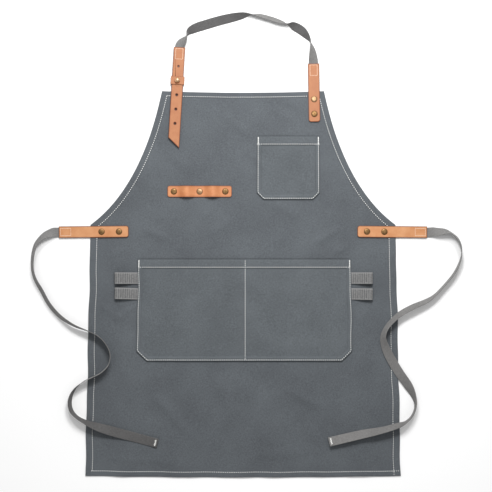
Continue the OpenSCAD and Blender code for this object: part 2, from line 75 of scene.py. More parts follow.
# Colours and nodes
def hexColour(text):
    parts = [int(text[i:i + 2], 16) / 255 for i in (1, 3, 5)]
    return tuple(c / 12.92 if c <= 0.04045 else ((c + 0.055) / 1.055) ** 2.4 for c in parts) + (1,)


# Adds one node: settings are its own properties, inputs are values or other nodes' outputs
def addNode(tree, kind, inputs=None, **settings):
    node = tree.nodes.new("ShaderNode" + kind)
    for name, value in settings.items():
        setattr(node, name, value)
    for name, value in (inputs or {}).items():
        if isinstance(value, bpy.types.NodeSocket):
            tree.links.new(value, node.inputs[name])
        else:
            node.inputs[name].default_value = value
    return node


def newMaterial(name):
    material = bpy.data.materials.new(name)
    material.use_nodes = True
    material.node_tree.nodes.clear()
    return material, material.node_tree


def finishMaterial(material, tree, shader):
    addNode(tree, "OutputMaterial", {"Surface": shader.outputs[0]})
    return material


# Plain-woven cotton canvas, piece dyed grey: matt, with a dry grain of single threads and faint slubs
def cottonCanvas(name, light, dark, thread=1.2):  # threads are about 0.5 mm, drawn at 1.2 mm so that they show
    material, tree = newMaterial(name)
    place = addNode(tree, "TexCoord").outputs["Object"]
    across = addNode(tree, "SeparateXYZ", {0: place})
    turn = math.pi / (thread * mm)
    warp = addNode(tree, "Math", {0: across.outputs[0], 1: turn}, operation="MULTIPLY")
    weft = addNode(tree, "Math", {0: across.outputs[1], 1: turn}, operation="MULTIPLY")
    warpSine = addNode(tree, "Math", {0: warp.outputs[0]}, operation="SINE")
    weftSine = addNode(tree, "Math", {0: weft.outputs[0]}, operation="SINE")
    over = addNode(tree, "Math", {0: warpSine.outputs[0], 1: weftSine.outputs[0]}, operation="MULTIPLY")
    stretchAlong = addNode(tree, "Mapping", {"Vector": place, "Scale": (1, 0.3, 1)})
    stretchAcross = addNode(tree, "Mapping", {"Vector": place, "Scale": (0.3, 1, 1)})
    slubAlong = addNode(tree, "TexNoise", {"Vector": stretchAlong.outputs[0], "Scale": 850, "Detail": 3})
    slubAcross = addNode(tree, "TexNoise", {"Vector": stretchAcross.outputs[0], "Scale": 850, "Detail": 3})
    slubs = addNode(tree, "Math", {0: slubAlong.outputs[0], 1: slubAcross.outputs[0]}, operation="ADD")
    cloud = addNode(tree, "TexNoise", {"Vector": place, "Scale": 11, "Detail": 2, "Roughness": 0.5})
    speck = addNode(tree, "TexNoise", {"Vector": place, "Scale": 520, "Detail": 3, "Roughness": 0.6})
    grain = addNode(tree, "Math", {0: over.outputs[0], 1: 0.09, 2: slubs.outputs[0]}, operation="MULTIPLY_ADD")
    dyed = addNode(tree, "Math", {0: cloud.outputs[0], 1: 0.7, 2: grain.outputs[0]}, operation="MULTIPLY_ADD")
    tone = addNode(tree, "Math", {0: speck.outputs[0], 1: 0.6, 2: dyed.outputs[0]}, operation="MULTIPLY_ADD")
    share = addNode(tree, "MapRange", {0: tone.outputs[0], 1: 1.25, 2: 2.05})
    colour = addNode(tree, "Mix", {"Factor": share.outputs[0], 6: hexColour(dark), 7: hexColour(light)},
                     data_type="RGBA")
    height = addNode(tree, "Math", {0: over.outputs[0], 1: 0.5, 2: slubs.outputs[0]}, operation="MULTIPLY_ADD")
    bump = addNode(tree, "Bump", {"Height": height.outputs[0], "Strength": 0.5, "Distance": 0.00025})
    shader = addNode(tree, "BsdfPrincipled", {
        "Base Color": colour.outputs[2], "Normal": bump.outputs[0], "Roughness": 0.92, "IOR": 1.5,
        "Specular IOR Level": 0.25, "Sheen Weight": 0.08, "Sheen Roughness": 0.5})
    return finishMaterial(material, tree, shader)


# Ribbed cotton webbing in mixed greys: matt, with cross ribs, a flecked yarn and lighter selvedges. Its UV map is
# in metres from the middle, and where the attribute "back" is 1 the colour is drawn darker (0.54 times)
# Ribs are about 1.2 mm, drawn at 2 to 4.6 mm so that they show
def cottonWebbing(name, light, dark, ribTone=0.1, rib=2.0, wide=20, selvedge=0.0):
    material, tree = newMaterial(name)
    place = addNode(tree, "TexCoord").outputs["UV"]
    across = addNode(tree, "SeparateXYZ", {0: place})
    ribs = addNode(tree, "Math", {0: across.outputs[1], 1: 2 * math.pi / (rib * mm)}, operation="MULTIPLY")
    yarns = addNode(tree, "Math", {0: across.outputs[0], 1: 2 * math.pi / (1.6 * mm)}, operation="MULTIPLY")
    ribSine = addNode(tree, "Math", {0: ribs.outputs[0]}, operation="SINE")
    yarnSine = addNode(tree, "Math", {0: yarns.outputs[0]}, operation="SINE")
    cells = addNode(tree, "Math", {0: yarnSine.outputs[0], 1: 0.35, 2: ribSine.outputs[0]},
                    operation="MULTIPLY_ADD")
    stretched = addNode(tree, "Mapping", {"Vector": place, "Scale": (1, 0.3, 1)})
    fleck = addNode(tree, "TexNoise", {"Vector": stretched.outputs[0], "Scale": 700, "Detail": 3})
    worn = addNode(tree, "TexNoise", {"Vector": place, "Scale": 30, "Detail": 2})
    tone = addNode(tree, "Math", {0: cells.outputs[0], 1: ribTone, 2: fleck.outputs[0]}, operation="MULTIPLY_ADD")
    total = addNode(tree, "Math", {0: worn.outputs[0], 1: 0.4, 2: tone.outputs[0]}, operation="MULTIPLY_ADD")
    offMiddle = addNode(tree, "Math", {0: across.outputs[0]}, operation="ABSOLUTE")
    border = addNode(tree, "MapRange", {0: offMiddle.outputs[0], 1: (wide / 2 - 3) * mm, 2: (wide / 2 - 2) * mm,
                                        3: 0.0, 4: selvedge})
    bordered = addNode(tree, "Math", {0: total.outputs[0], 1: border.outputs[0]}, operation="ADD")
    share = addNode(tree, "MapRange", {0: bordered.outputs[0], 1: 0.4, 2: 1.0})
    colour = addNode(tree, "Mix", {"Factor": share.outputs[0], 6: hexColour(dark), 7: hexColour(light)},
                     data_type="RGBA")
    back = addNode(tree, "Attribute", attribute_name="back")
    faced = addNode(tree, "Mix", {"Factor": back.outputs["Fac"], 6: colour.outputs[2], 7: (0.54, 0.54, 0.55, 1)},
                    data_type="RGBA", blend_type="MULTIPLY")
    bump = addNode(tree, "Bump", {"Height": cells.outputs[0], "Strength": 0.45, "Distance": 0.0003})
    shader = addNode(tree, "BsdfPrincipled", {
        "Base Color": faced.outputs[2], "Normal": bump.outputs[0], "Roughness": 0.9, "IOR": 1.5,
        "Specular IOR Level": 0.25, "Sheen Weight": 0.1, "Sheen Roughness": 0.5})
    return finishMaterial(material, tree, shader)


# Vegetable-tanned cowhide, oiled: warm tan with clouded tone and fine pores, and cut edges burnished
# to a dark red brown. The attribute "rim" is 1 on a cut edge; on the tool strap it also lays painted shade on the
# arches' steep sides
def tannedLeather(name, light, dark, edge):
    material, tree = newMaterial(name)
    place = addNode(tree, "TexCoord").outputs["Object"]
    rim = addNode(tree, "Attribute", attribute_name="rim")
    cloud = addNode(tree, "TexNoise", {"Vector": place, "Scale": 55, "Detail": 5, "Roughness": 0.6})
    pores = addNode(tree, "TexVoronoi", {"Vector": place, "Scale": 900}, feature="DISTANCE_TO_EDGE")
    fine = addNode(tree, "TexNoise", {"Vector": place, "Scale": 1500, "Detail": 2})
    poreTone = addNode(tree, "MapRange", {0: pores.outputs[0], 1: 0.0, 2: 0.2, 3: -0.12, 4: 0.0})
    tone = addNode(tree, "Math", {0: fine.outputs[0], 1: 0.25, 2: cloud.outputs[0]}, operation="MULTIPLY_ADD")
    total = addNode(tree, "Math", {0: tone.outputs[0], 1: poreTone.outputs[0]}, operation="ADD")
    share = addNode(tree, "MapRange", {0: total.outputs[0], 1: 0.2, 2: 1.05})
    colour = addNode(tree, "Mix", {"Factor": share.outputs[0], 6: hexColour(dark), 7: hexColour(light)},
                     data_type="RGBA")
    edged = addNode(tree, "Mix", {"Factor": rim.outputs["Fac"], 6: colour.outputs[2], 7: hexColour(edge)},
                    data_type="RGBA")
    height = addNode(tree, "Math", {0: fine.outputs[0], 1: 0.3, 2: pores.outputs[0]}, operation="MULTIPLY_ADD")
    bump = addNode(tree, "Bump", {"Height": height.outputs[0], "Strength": 0.25, "Distance": 0.0003})
    rough = addNode(tree, "MapRange", {0: cloud.outputs[0], 1: 0.3, 2: 0.7, 3: 0.5, 4: 0.62})
    shader = addNode(tree, "BsdfPrincipled", {
        "Base Color": edged.outputs[2], "Normal": bump.outputs[0], "Roughness": rough.outputs[0],
        "IOR": 1.48, "Specular IOR Level": 0.4})
    return finishMaterial(material, tree, shader)


# Twisted polyester sewing thread, off white: a soft sheen along the twist
def polyesterThread(name, light, dark):
    material, tree = newMaterial(name)
    place = addNode(tree, "TexCoord").outputs["Object"]
    twist = addNode(tree, "TexNoise", {"Vector": place, "Scale": 900, "Detail": 2})
    colour = addNode(tree, "Mix", {"Factor": twist.outputs[0], 6: hexColour(dark), 7: hexColour(light)},
                     data_type="RGBA")
    bump = addNode(tree, "Bump", {"Height": twist.outputs[0], "Strength": 0.3, "Distance": 0.0002})
    shader = addNode(tree, "BsdfPrincipled", {
        "Base Color": colour.outputs[2], "Normal": bump.outputs[0], "Roughness": 0.6, "IOR": 1.5})
    return finishMaterial(material, tree, shader)


# Brass with an antique finish: dulled and browned in patches, brighter where it is rubbed
def antiqueBrass(name, light, dark):
    material, tree = newMaterial(name)
    place = addNode(tree, "TexCoord").outputs["Object"]
    patina = addNode(tree, "TexNoise", {"Vector": place, "Scale": 260, "Detail": 4, "Roughness": 0.65})
    scratches = addNode(tree, "TexNoise", {"Vector": place, "Scale": 2200, "Detail": 2})
    share = addNode(tree, "MapRange", {0: patina.outputs[0], 1: 0.35, 2: 0.65})
    colour = addNode(tree, "Mix", {"Factor": share.outputs[0], 6: hexColour(dark), 7: hexColour(light)},
                     data_type="RGBA")
    rough = addNode(tree, "MapRange", {0: patina.outputs[0], 1: 0.3, 2: 0.7, 3: 0.6, 4: 0.42})
    bump = addNode(tree, "Bump", {"Height": scratches.outputs[0], "Strength": 0.08, "Distance": 0.0002})
    shader = addNode(tree, "BsdfPrincipled", {
        "Base Color": colour.outputs[2], "Normal": bump.outputs[0], "Roughness": rough.outputs[0],
        "Metallic": 1.0})
    return finishMaterial(material, tree, shader)


canvasBody = cottonCanvas("cottonCanvasBody", "#5f6468", "#484b4f")
canvasPocket = cottonCanvas("cottonCanvasPocket", "#62676b", "#4a4e51")
webbingGrey = cottonWebbing("cottonWebbing", "#81807f", "#656463")
webbingLoop = cottonWebbing("cottonWebbingLoop", "#7f7f7f", "#525252", 0.17, 4.6, 24, 0.3)
leather = tannedLeather("tannedLeather", "#cf9b70", "#ad6f42", "#5f2812")
leatherNeck = tannedLeather("tannedLeatherNeck", "#b37d59", "#965932", "#5f2812")
leatherTool = tannedLeather("tannedLeatherTool", "#d09366", "#ad673c", "#5f2812")
# Near-black leather for the hidden anchor tab: painted shade, so that the strap's holes over it read dark
leatherPaintedShade = tannedLeather("leatherHoleShade", "#4a2a1a", "#2e1a10", "#241209")
thread = polyesterThread("polyesterThread", "#f8f8f5", "#dededa")
threadTan = polyesterThread("polyesterThreadTan", "#efd8c6", "#dcba9e")
brass = antiqueBrass("antiqueBrass", "#967450", "#6a5132")
# A lighter copy of the antique brass: a painted highlight for the two caps that catch the light most
brassPaintedBright = antiqueBrass("brassPaintedHighlight", "#ad8e6f", "#896a4a")
brassStud = antiqueBrass("studBrass", "#e0bd9a", "#c09a74")
print("materials ready")


# Mesh helpers
def meshObject(name, points, faces, material, uv=None):
    mesh = bpy.data.meshes.new(name)
    mesh.from_pydata((np.asarray(points) * mm).tolist(), [], faces)
    mesh.polygons.foreach_set("use_smooth", [True] * len(mesh.polygons))
    if uv is not None:
        layer = mesh.uv_layers.new(name="UVMap")
        corner = np.zeros(len(mesh.loops), int)
        mesh.loops.foreach_get("vertex_index", corner)
        layer.data.foreach_set("uv", (np.asarray(uv)[corner] * mm).ravel())
    mesh.update()
    obj = bpy.data.objects.new(name, mesh)
    bpy.context.scene.collection.objects.link(obj)
    mesh.materials.append(material)
    return obj


def settle(obj, body, slot, *nodes):
    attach(obj, body)
    if nodes:
        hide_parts(*nodes)
    return obj


# A smooth curve through points, cut into even steps
def smoothLine(points, step):
    points = np.asarray(points, float)
    gaps = np.linalg.norm(np.diff(points[:, :2], axis=0), axis=1)
    along = np.concatenate([[0], np.cumsum(gaps)])
    slopes = np.zeros_like(points)
    slopes[1:-1] = (points[2:] - points[:-2]) / (along[2:] - along[:-2])[:, None]
    slopes[0] = (points[1] - points[0]) / gaps[0]
    slopes[-1] = (points[-1] - points[-2]) / gaps[-1]
    at = np.linspace(0, along[-1], max(2, round(along[-1] / step)) + 1)
    i = np.clip(np.searchsorted(along, at, side="right") - 1, 0, len(gaps) - 1)
    h = gaps[i][:, None]
    t = ((at - along[i]) / gaps[i])[:, None]
    return ((2 * t**3 - 3 * t**2 + 1) * points[i] + (t**3 - 2 * t**2 + t) * h * slopes[i]
            + (3 * t**2 - 2 * t**3) * points[i + 1] + (t**3 - t**2) * h * slopes[i + 1])


def unitRows(vectors):
    return vectors / np.maximum(np.linalg.norm(vectors, axis=1, keepdims=True), 1e-12)


# A flat woven strip along centre points. wide and thick are its unit directions at each point
def strip(name, centre, wide, thick, size, material, thickness=None, darkBack=False):
    shares = [(1, 0), (0.99, 0.5), (0.965, 0.85), (0.9, 1), (0.5, 0.96), (0, 0.94), (-0.5, 0.96),
              (-0.9, 1), (-0.965, 0.85), (-0.99, 0.5)]
    section = np.array(shares + [(-a, -b) for a, b in shares])
    half = np.full(len(centre), size["thick"] / 2) if thickness is None else np.asarray(thickness) / 2
    along = np.concatenate([[0], np.cumsum(np.linalg.norm(np.diff(centre, axis=0), axis=1))])
    points = (centre[:, None] + wide[:, None] * section[None, :, :1] * size["wide"] / 2
              + thick[:, None] * section[None, :, 1:] * half[:, None, None])
    count, sides = len(centre), len(section)
    faces = [(i * sides + j, i * sides + (j + 1) % sides, (i + 1) * sides + (j + 1) % sides, (i + 1) * sides + j)
             for i in range(count - 1) for j in range(sides)]
    faces += [tuple(range(sides))[::-1], tuple((count - 1) * sides + j for j in range(sides))]
    uv = np.stack([np.tile(section[:, 0] * size["wide"] / 2, count), np.repeat(along, sides)], axis=1)
    obj = meshObject(name, points.reshape(-1, 3), faces, material, uv)
    if darkBack:
        layer = obj.data.attributes.new("back", "FLOAT", "POINT")
        layer.data.foreach_set("value", np.tile((section[:, 1] < -0.4).astype(np.float32), count))
    return turnOutwards(obj)


def deselectAll():
    bpy.ops.object.select_all(action="DESELECT")


def pickOnly(obj):
    deselectAll()
    obj.select_set(True)
    bpy.context.view_layer.objects.active = obj


def turnOutwards(obj):
    pickOnly(obj)
    bpy.ops.object.mode_set(mode="EDIT")
    bpy.ops.mesh.select_all(action="SELECT")
    bpy.ops.mesh.normals_make_consistent(inside=False)
    bpy.ops.object.mode_set(mode="OBJECT")
    return obj


# Stitches: one is modelled, and copied along each seam
stitchSize = {"long": 2.5, "wide": 1.5, "high": 0.85, "pitch": 4.6}

deselectAll()
bpy.ops.mesh.primitive_uv_sphere_add(segments=8, ring_count=5, radius=0.5, rotation=(0, math.pi / 2, 0))
oneStitch = bpy.context.object
bpy.ops.object.transform_apply(location=True, rotation=True, scale=True)
stitchPoints = np.array([v.co for v in oneStitch.data.vertices])
stitchPoints[:, 0] = np.sign(stitchPoints[:, 0]) * np.abs(stitchPoints[:, 0] * 2) ** 0.6 / 2  # blunter ends
stitchFaces = [tuple(p.vertices) for p in oneStitch.data.polygons]
bpy.data.objects.remove(oneStitch)


# Stitches along lines of points on a surface, each with the surface's normals there
def stitchPiece(name, lines, size=1.0, yarn=thread):
    points, faces = [], []
    for line, normals, pitch, long in lines:
        line, normals = np.asarray(line, float), np.asarray(normals, float)
        along = np.concatenate([[0], np.cumsum(np.linalg.norm(np.diff(line, axis=0), axis=1))])
        count = max(1, round(along[-1] / pitch))
        middles = (np.arange(count) + 0.5) * along[-1] / count
        place = np.stack([np.interp(middles, along, line[:, k]) for k in range(3)], axis=1)
        ahead = np.stack([np.interp(middles + 0.4, along, line[:, k]) for k in range(3)], axis=1)
        behind = np.stack([np.interp(middles - 0.4, along, line[:, k]) for k in range(3)], axis=1)
        way = unitRows(ahead - behind)
        up = unitRows(np.stack([np.interp(middles, along, normals[:, k]) for k in range(3)], axis=1))
        side = unitRows(np.cross(up, way))
        up = np.cross(way, side)
        for i in range(count):
            start = len(points) * len(stitchPoints)
            points.append(place[i] + stitchPoints[:, :1] * way[i] * long
                          + stitchPoints[:, 1:2] * side[i] * stitchSize["wide"] * size
                          + stitchPoints[:, 2:] * up[i] * stitchSize["high"] * size)
            faces += [tuple(start + j for j in face) for face in stitchFaces]
    return meshObject(name, np.concatenate(points), faces, yarn)


# Webbing: each point is x, y, height of the lowest edge, roll in degrees
webbing = {"wide": 20, "thick": 1.4, "step": 2.5, "hem": 11}
tabZ, tabTop, strapZ = 2.4, 4.6, 5.9

leftTieRoute = [
    [-358, -1, 1, 0], [-387, -2, 1, 0], [-397, -2, 0.6, 13],
    [-405, -4, 0, 30], [-415, -8, 0, 46], [-425, -16, 0, 56], [-434, -28, 0, 61], [-439, -45, 0, 63],
    [-441, -64, 0, 65], [-440, -83, 0, 66], [-434, -102, 0, 64], [-422, -123, 0, 61], [-406, -152, 0, 60],
    [-384, -177, 0, 62], [-355, -196, 3, 70], [-325, -208, 3, 80], [-304, -218, 3, 84], [-288, -234, 3, 80],
    [-278, -256, 3, 80], [-281, -278, 3, 84], [-296, -295, 3, 88], [-317, -306, 3, 90], [-335, -315, 3, 90],
    [-353, -331, 0, 97], [-362, -352, 0, 105], [-360, -373, 0, 103], [-347, -388, 3, 98],
    [-330, -398, 3, 106], [-309, -407, 3, 130], [-279, -417, 3, 158], [-237, -429, 3, 178], [-179, -444, 3, 190]]
rightTieRoute = [
    [358, -1, 1, 0], [387, -2, 1, 0], [398, -1, 0.6, -12], [408, -1, 0, -30],
    [424, 0, 0, -58], [437, -4, 0, -78], [449, -15, 0, -72], [456, -31, 0, -72], [457, -49, 0, -82],
    [453, -66, 0, -90], [441, -89, 0, -92], [421, -113, 0, -92], [401, -134, 0, -97], [383, -146, 0, -110],
    [357, -157, 3, -117], [331, -171, 3, -117], [312, -187, 3, -113], [298, -205, 3, -110],
    [293, -223, 3, -120], [299, -245, 3, -142], [312, -271, 3, -160], [328, -297, 3, -158],
    [346, -323, 3, -148], [357, -345, 0, -116], [361, -364, 0, -94], [355, -384, 0, -90],
    [341, -398, 3, -93], [326, -405, 3, -112], [293, -415, 3, -122], [247, -425, 3, -146], [180, -441, 3, -155]]
neckRoute = [
    [-134, 358, 4.5, 0], [-132.2, 388, 4.5, 0], [-129, 394, 4, -12],
    [-123, 402, 1.5, -45], [-117, 411, 0, -88], [-112, 419, 0, -125], [-98, 427, 0, -152],
    [-80, 433, 0, -162], [-53, 441, 0, -160],
    [-27, 447, 0, -148], [0, 452, 0, -120], [17, 454, 0, -84], [35, 452, 0, -62], [57, 446, 0, -56],
    [75, 440, 0, -58], [93, 434, 0, -84], [106, 430, 0, -138], [121, 422, 0, -148], [132, 411, 0, -125],
    [141, 398, 0, -90], [145, 384, 0, -58], [147, 367, 0.5, -28], [147.8, 352, 1, 0],
    [148.3, 324, 1, 0]]


# The centre, width and thickness directions of webbing along a route
def layWebbing(route):
    line = smoothLine(route, webbing["step"])
    roll = np.radians(line[:, 3])
    way = unitRows(np.gradient(line[:, :2], axis=0))
    left = np.stack([-way[:, 1], way[:, 0], np.zeros(len(line))], axis=1)
    up = np.tile([0.0, 0.0, 1.0], (len(line), 1))
    cosine, sine = np.cos(roll)[:, None], np.sin(roll)[:, None]
    rise = (np.abs(cosine) * webbing["thick"] + np.abs(sine) * webbing["wide"]) / 2
    centre = np.concatenate([line[:, :2], line[:, 2:3] + rise], axis=1)
    return centre, cosine * left + sine * up, cosine * up - sine * left


# A tie ends in a short hem, turned to the hidden face and sewn with a zigzag
def makeTie(name, route, node, darkBack):
    centre, wide, thick = layWebbing(route)
    toEnd = np.linalg.norm(centre - centre[-1], axis=1)
    thickness = webbing["thick"] + 1.0 * np.clip((webbing["hem"] - toEnd) / 1.2, 0, 1)
    shown = np.sign(thick[:, 2:3]) * thick
    centre = centre + shown * (thickness[:, None] - webbing["thick"]) / 2
    tie = strip(name, centre, wide, thick, webbing, webbingGrey, thickness, darkBack)
    last = len(centre) - 3
    zigzag = [centre[last] + wide[last] * w + shown[last] * (thickness[last] / 2 + 0.1) + a * unitRows(
        (centre[last + 1] - centre[last])[None])[0] for w, a in zip(np.linspace(-6.5, 6.5, 9), [1.3, -1.3] * 5)]
    sewing = stitchPiece(name + "_stitching", [(zigzag, [shown[last]] * len(zigzag), 1.9, 2.2)])
    settle(tie, "apron", "webbing", node)
    settle(sewing, "apron", "thread")
    print(name, "length", round(float(np.linalg.norm(np.diff(centre, axis=0), axis=1).sum()), 1))


makeTie("left_tie_webbing", leftTieRoute, "left_tie", True)
makeTie("right_tie_webbing", rightTieRoute, "right_tie", False)

centre, wide, thick = layWebbing(neckRoute)
neckStrip = strip("neck_loop_webbing", centre, wide, thick, webbing, webbingGrey, darkBack=True)
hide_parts("neck_webbing")
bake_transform(neckStrip)
print("neck length", round(float(np.linalg.norm(np.diff(centre, axis=0), axis=1).sum()), 1))

# Canvas body
body = {"topHalf": 170, "waistHalf": 320, "bottomHalf": 331, "top": 293, "waist": 14, "bottom": -514,
        "controlX": 213.5, "controlY": 92.1, "cloth": 1.0, "hem": 2.4, "sideHem": 14, "armholeHem": 12,
        "bottomHem": 11, "topHem": 9.5, "fold": 1.5, "columns": 120, "rowStep": 4.5}
bibPocket = {"x": 95, "y": 199, "mouthHalf": 65.5, "bottomHalf": 66, "tall": 132, "cut": 14, "gap": 1.7,
             "seams": [0], "columns": 30, "rowStep": 4}
lowerPocket = {"x": 3, "y": -59, "mouthHalf": 223.5, "bottomHalf": 226, "tall": 213, "cut": 21, "gap": 2.0,
               "seams": [0], "columns": 90, "rowStep": 5}
pocketMake = {"seam": 9, "stitch": 2.6, "edge": 4.0, "cloth": 1.0, "mouthHem": 16, "mouthThick": 3.3,
              "middle": 1.6}


# A family of soft waves across the cloth, about size mm apart and 1 mm high
def waves(x, y, size, seed, count=9):
    draw = np.random.default_rng(seed)
    total = np.zeros(np.broadcast(x, y).shape)
    for turn, stretch, phase in draw.random((count, 3)):
        k = 2 * math.pi / (size * (0.7 + 0.8 * stretch))
        total += np.sin(k * (x * math.cos(turn * math.pi) + y * math.sin(turn * math.pi)) + phase * 2 * math.pi)
    return total / math.sqrt(count)


def smoothStep(t):
    t = np.clip(t, 0, 1)
    return t * t * (3 - 2 * t)


# The places where the cloth is held flat: left, right, low, high
heldFlat = [(134, 166, 222, 300), (-160, -118, 200, 300), (230, 330, -16, 16), (-330, -230, -16, 16),
            (-164, -18, 68, 100)]


# Soft folds in the body: start x and y, end x and y, height, half-width
folds = [(88, 278, 130, 250, 2.4, 6), (56, 264, 112, 226, 1.9, 9), (-272, -190, -222, -152, 1.9, 7),
         (-300, -158, -250, -186, 1.5, 7), (-280, -54, -232, -22, 1.7, 7), (-50, 70, -86, 26, 2.6, 8),
         (-20, 30, -70, -10, 2.2, 10), (206, 8, 150, -24, 2.6, 8), (236, -18, 188, -48, 2.2, 7),
         (-214, 8, -156, -16, 2.6, 8), (266, -150, 238, -196, 1.4, 7), (120, 30, 60, 62, 2.2, 10),
         (-190, -337, -116, -426, 3.0, 10), (90, -330, 170, -372, 2.4, 10), (-60, -300, -16, -390, 2.6, 11),
         (0, 184, 60, 118, 2.2, 9), (-46, 246, 20, 200, 2.0, 9), (176, 112, 212, 58, 1.4, 8),
         (-262, -478, -130, -484, 1.0, 7), (30, -470, 150, -462, 0.9, 8), (-150, 160, -96, 118, 1.9, 9)]


def foldLift(x, y):
    total = np.zeros(np.broadcast(x, y).shape)
    for startX, startY, endX, endY, high, wide in folds:
        long = math.hypot(endX - startX, endY - startY)
        wayX, wayY = (endX - startX) / long, (endY - startY) / long
        along = ((x - startX) * wayX + (y - startY) * wayY) / long
        aside = (x - startX) * wayY - (y - startY) * wayX
        fade = smoothStep(along * 2.5 + 0.3) * smoothStep((1 - along) * 2.5 + 0.3)
        total += high * np.exp(-(aside / wide) ** 2) * fade
    return total


# How far the body's underside lies off the table
def bodyLift(x, y):
    away = np.full(np.broadcast(x, y).shape, 1e3)
    for left, right, low, high in heldFlat:
        away = np.minimum(away, np.hypot(np.maximum(np.maximum(left - x, x - right), 0),
                                         np.maximum(np.maximum(low - y, y - high), 0)))
    free = smoothStep(away / 35)
    lift = 0.9 + 0.9 * np.tanh(0.75 * waves(x, y, 130, 4) + 0.6 * waves(x, y, 52, 9) + 0.1 * waves(x, y, 27, 12))
    edge = smoothStep((np.abs(x) - 250) / 45)
    return (lift * (1 - 0.7 * edge) + foldLift(x, y)) * free


# A dip in the body just above each pocket's mouth, where the pocket pulls it down
def mouthDip(x, y):
    dip = np.zeros(np.broadcast(x, y).shape)
    for pocket in (bibPocket, lowerPocket):
        inside = smoothStep((pocket["mouthHalf"] + 1 - np.abs(x - pocket["x"])) / 3)
        up = y - pocket["y"]
        dip += inside * np.where(up > 0, smoothStep(1 - up / 3.6), smoothStep(1 + up / 8)) * 0.85
    return dip


# Waves of the finished edges, and the sag of the top edge and the bottom hem
def bodyShift(x, y):
    half = body["topHalf"]
    top = smoothStep((y - 200) / 90) * (3.6 * np.clip(x / half, -1.2, 1.2) ** 2 - 1.8)
    low = smoothStep((-430 - y) / 80) * (3 * (x / body["bottomHalf"]) ** 2 - 2.2)
    side = smoothStep((np.abs(x) - 120) / 120)
    wobble = (0.7 * np.sin(y / 31 + np.sign(x)) + 0.5 * np.sin(y / 13.7 + 2 * np.sign(x))) * side
    return x + wobble * smoothStep((-30 - y) / 60), y + top + low + 0.4 * np.sin(x / 17) * smoothStep((-430 - y) / 80)


# The x at each height of a right-hand edge moved in. Its distance is share of each part's hem, plus more
def movedIn(path, hems, share, more, heights):
    path = np.asarray(path, float)
    way = unitRows(np.diff(path, axis=0))
    inward = np.stack([-way[:, 1], way[:, 0]], axis=1)
    shift = inward * (share * np.asarray(hems, float) + more)[:, None]
    starts, ends = path[:-1] + shift, path[1:] + shift
    line = [starts[0] - way[0] * 60]
    for i in range(len(way) - 1):
        turn = way[i][0] * way[i + 1][1] - way[i][1] * way[i + 1][0]
        gap = starts[i + 1] - ends[i]
        line.append((ends[i] + starts[i + 1]) / 2 if abs(turn) < 1e-3
                    else ends[i] + way[i] * (gap[0] * way[i + 1][1] - gap[1] * way[i + 1][0]) / turn)
    line = np.array(line + [ends[-1] + way[-1] * 60])
    return np.interp(heights, line[:, 1], line[:, 0])


# Height of cloth turned over at its edge: round at the fold, with a groove at the stitching
def turnedEdge(distance, stitch, fold, thick, inner, groove=0.4):
    turned = thick * np.sqrt(np.clip(1 - (1 - np.clip(distance / 1.2, 0, 1)) ** 2 * 0.75, 0, 1))
    turned = turned - groove * np.exp(-((distance - stitch) / 0.75) ** 2)
    return inner + (turned - inner) * (1 - smoothStep((distance - fold + 0.7) / 0.7))


def underEdge(distance, thick):
    return thick / 2 * (1 - np.sqrt(np.clip(1 - (1 - np.clip(distance / 1.0, 0, 1)) ** 2, 0, 1)))


def evenRows(low, high, step, lowSteps, highSteps, extra=()):
    fixed = sorted([low + d for d in lowSteps] + [high - d for d in highSteps] + list(extra))
    between = [y for y in np.arange(low + lowSteps[-1] + step, high - highSteps[-1], step)
               if min(abs(y - f) for f in fixed) > step * 0.45]
    return np.array(sorted(fixed + between))


# A closed sheet over a grid of x and y: top and bottom heights, sharing the outer ring
def gridSheet(name, x, y, bottom, top, material):
    rows, columns = x.shape
    index = np.arange(rows * columns).reshape(rows, columns)
    lower = index + rows * columns
    for ring in (np.s_[0, :], np.s_[-1, :], np.s_[:, 0], np.s_[:, -1]):
        lower[ring] = index[ring]
        top[ring] = (top[ring] + bottom[ring]) / 2
    quads = lambda g: np.stack([g[:-1, :-1], g[:-1, 1:], g[1:, 1:], g[1:, :-1]], axis=-1).reshape(-1, 4)
    faces = np.concatenate([quads(index), quads(lower)[:, ::-1]])
    points = np.concatenate([np.stack([x, y, top], -1).reshape(-1, 3), np.stack([x, y, bottom], -1).reshape(-1, 3)])
    used, faces = np.unique(faces, return_inverse=True)
    return meshObject(name, points[used], faces.reshape(-1, 4).tolist(), material)


curve = np.linspace(1, 0, 25)[:, None]
corner, control, waistCorner = np.array([[body["topHalf"], body["top"]], [body["controlX"], body["controlY"]],
                                         [body["waistHalf"], body["waist"]]], float)
armhole = (1 - curve) ** 2 * corner + 2 * curve * (1 - curve) * control + curve ** 2 * waistCorner
bodyPath = np.concatenate([[[body["bottomHalf"], body["bottom"]]], armhole])
bodyHems = [body["sideHem"]] + [body["armholeHem"]] * 24


def hemSteps(hem):
    return [0, 0.2, 0.6, 1.2, 2.5, hem / 2, hem - 2.5, hem - 0.7, hem, hem + 0.7, hem + 1.15, hem + 1.5,
            hem + 2.2, hem + 5]


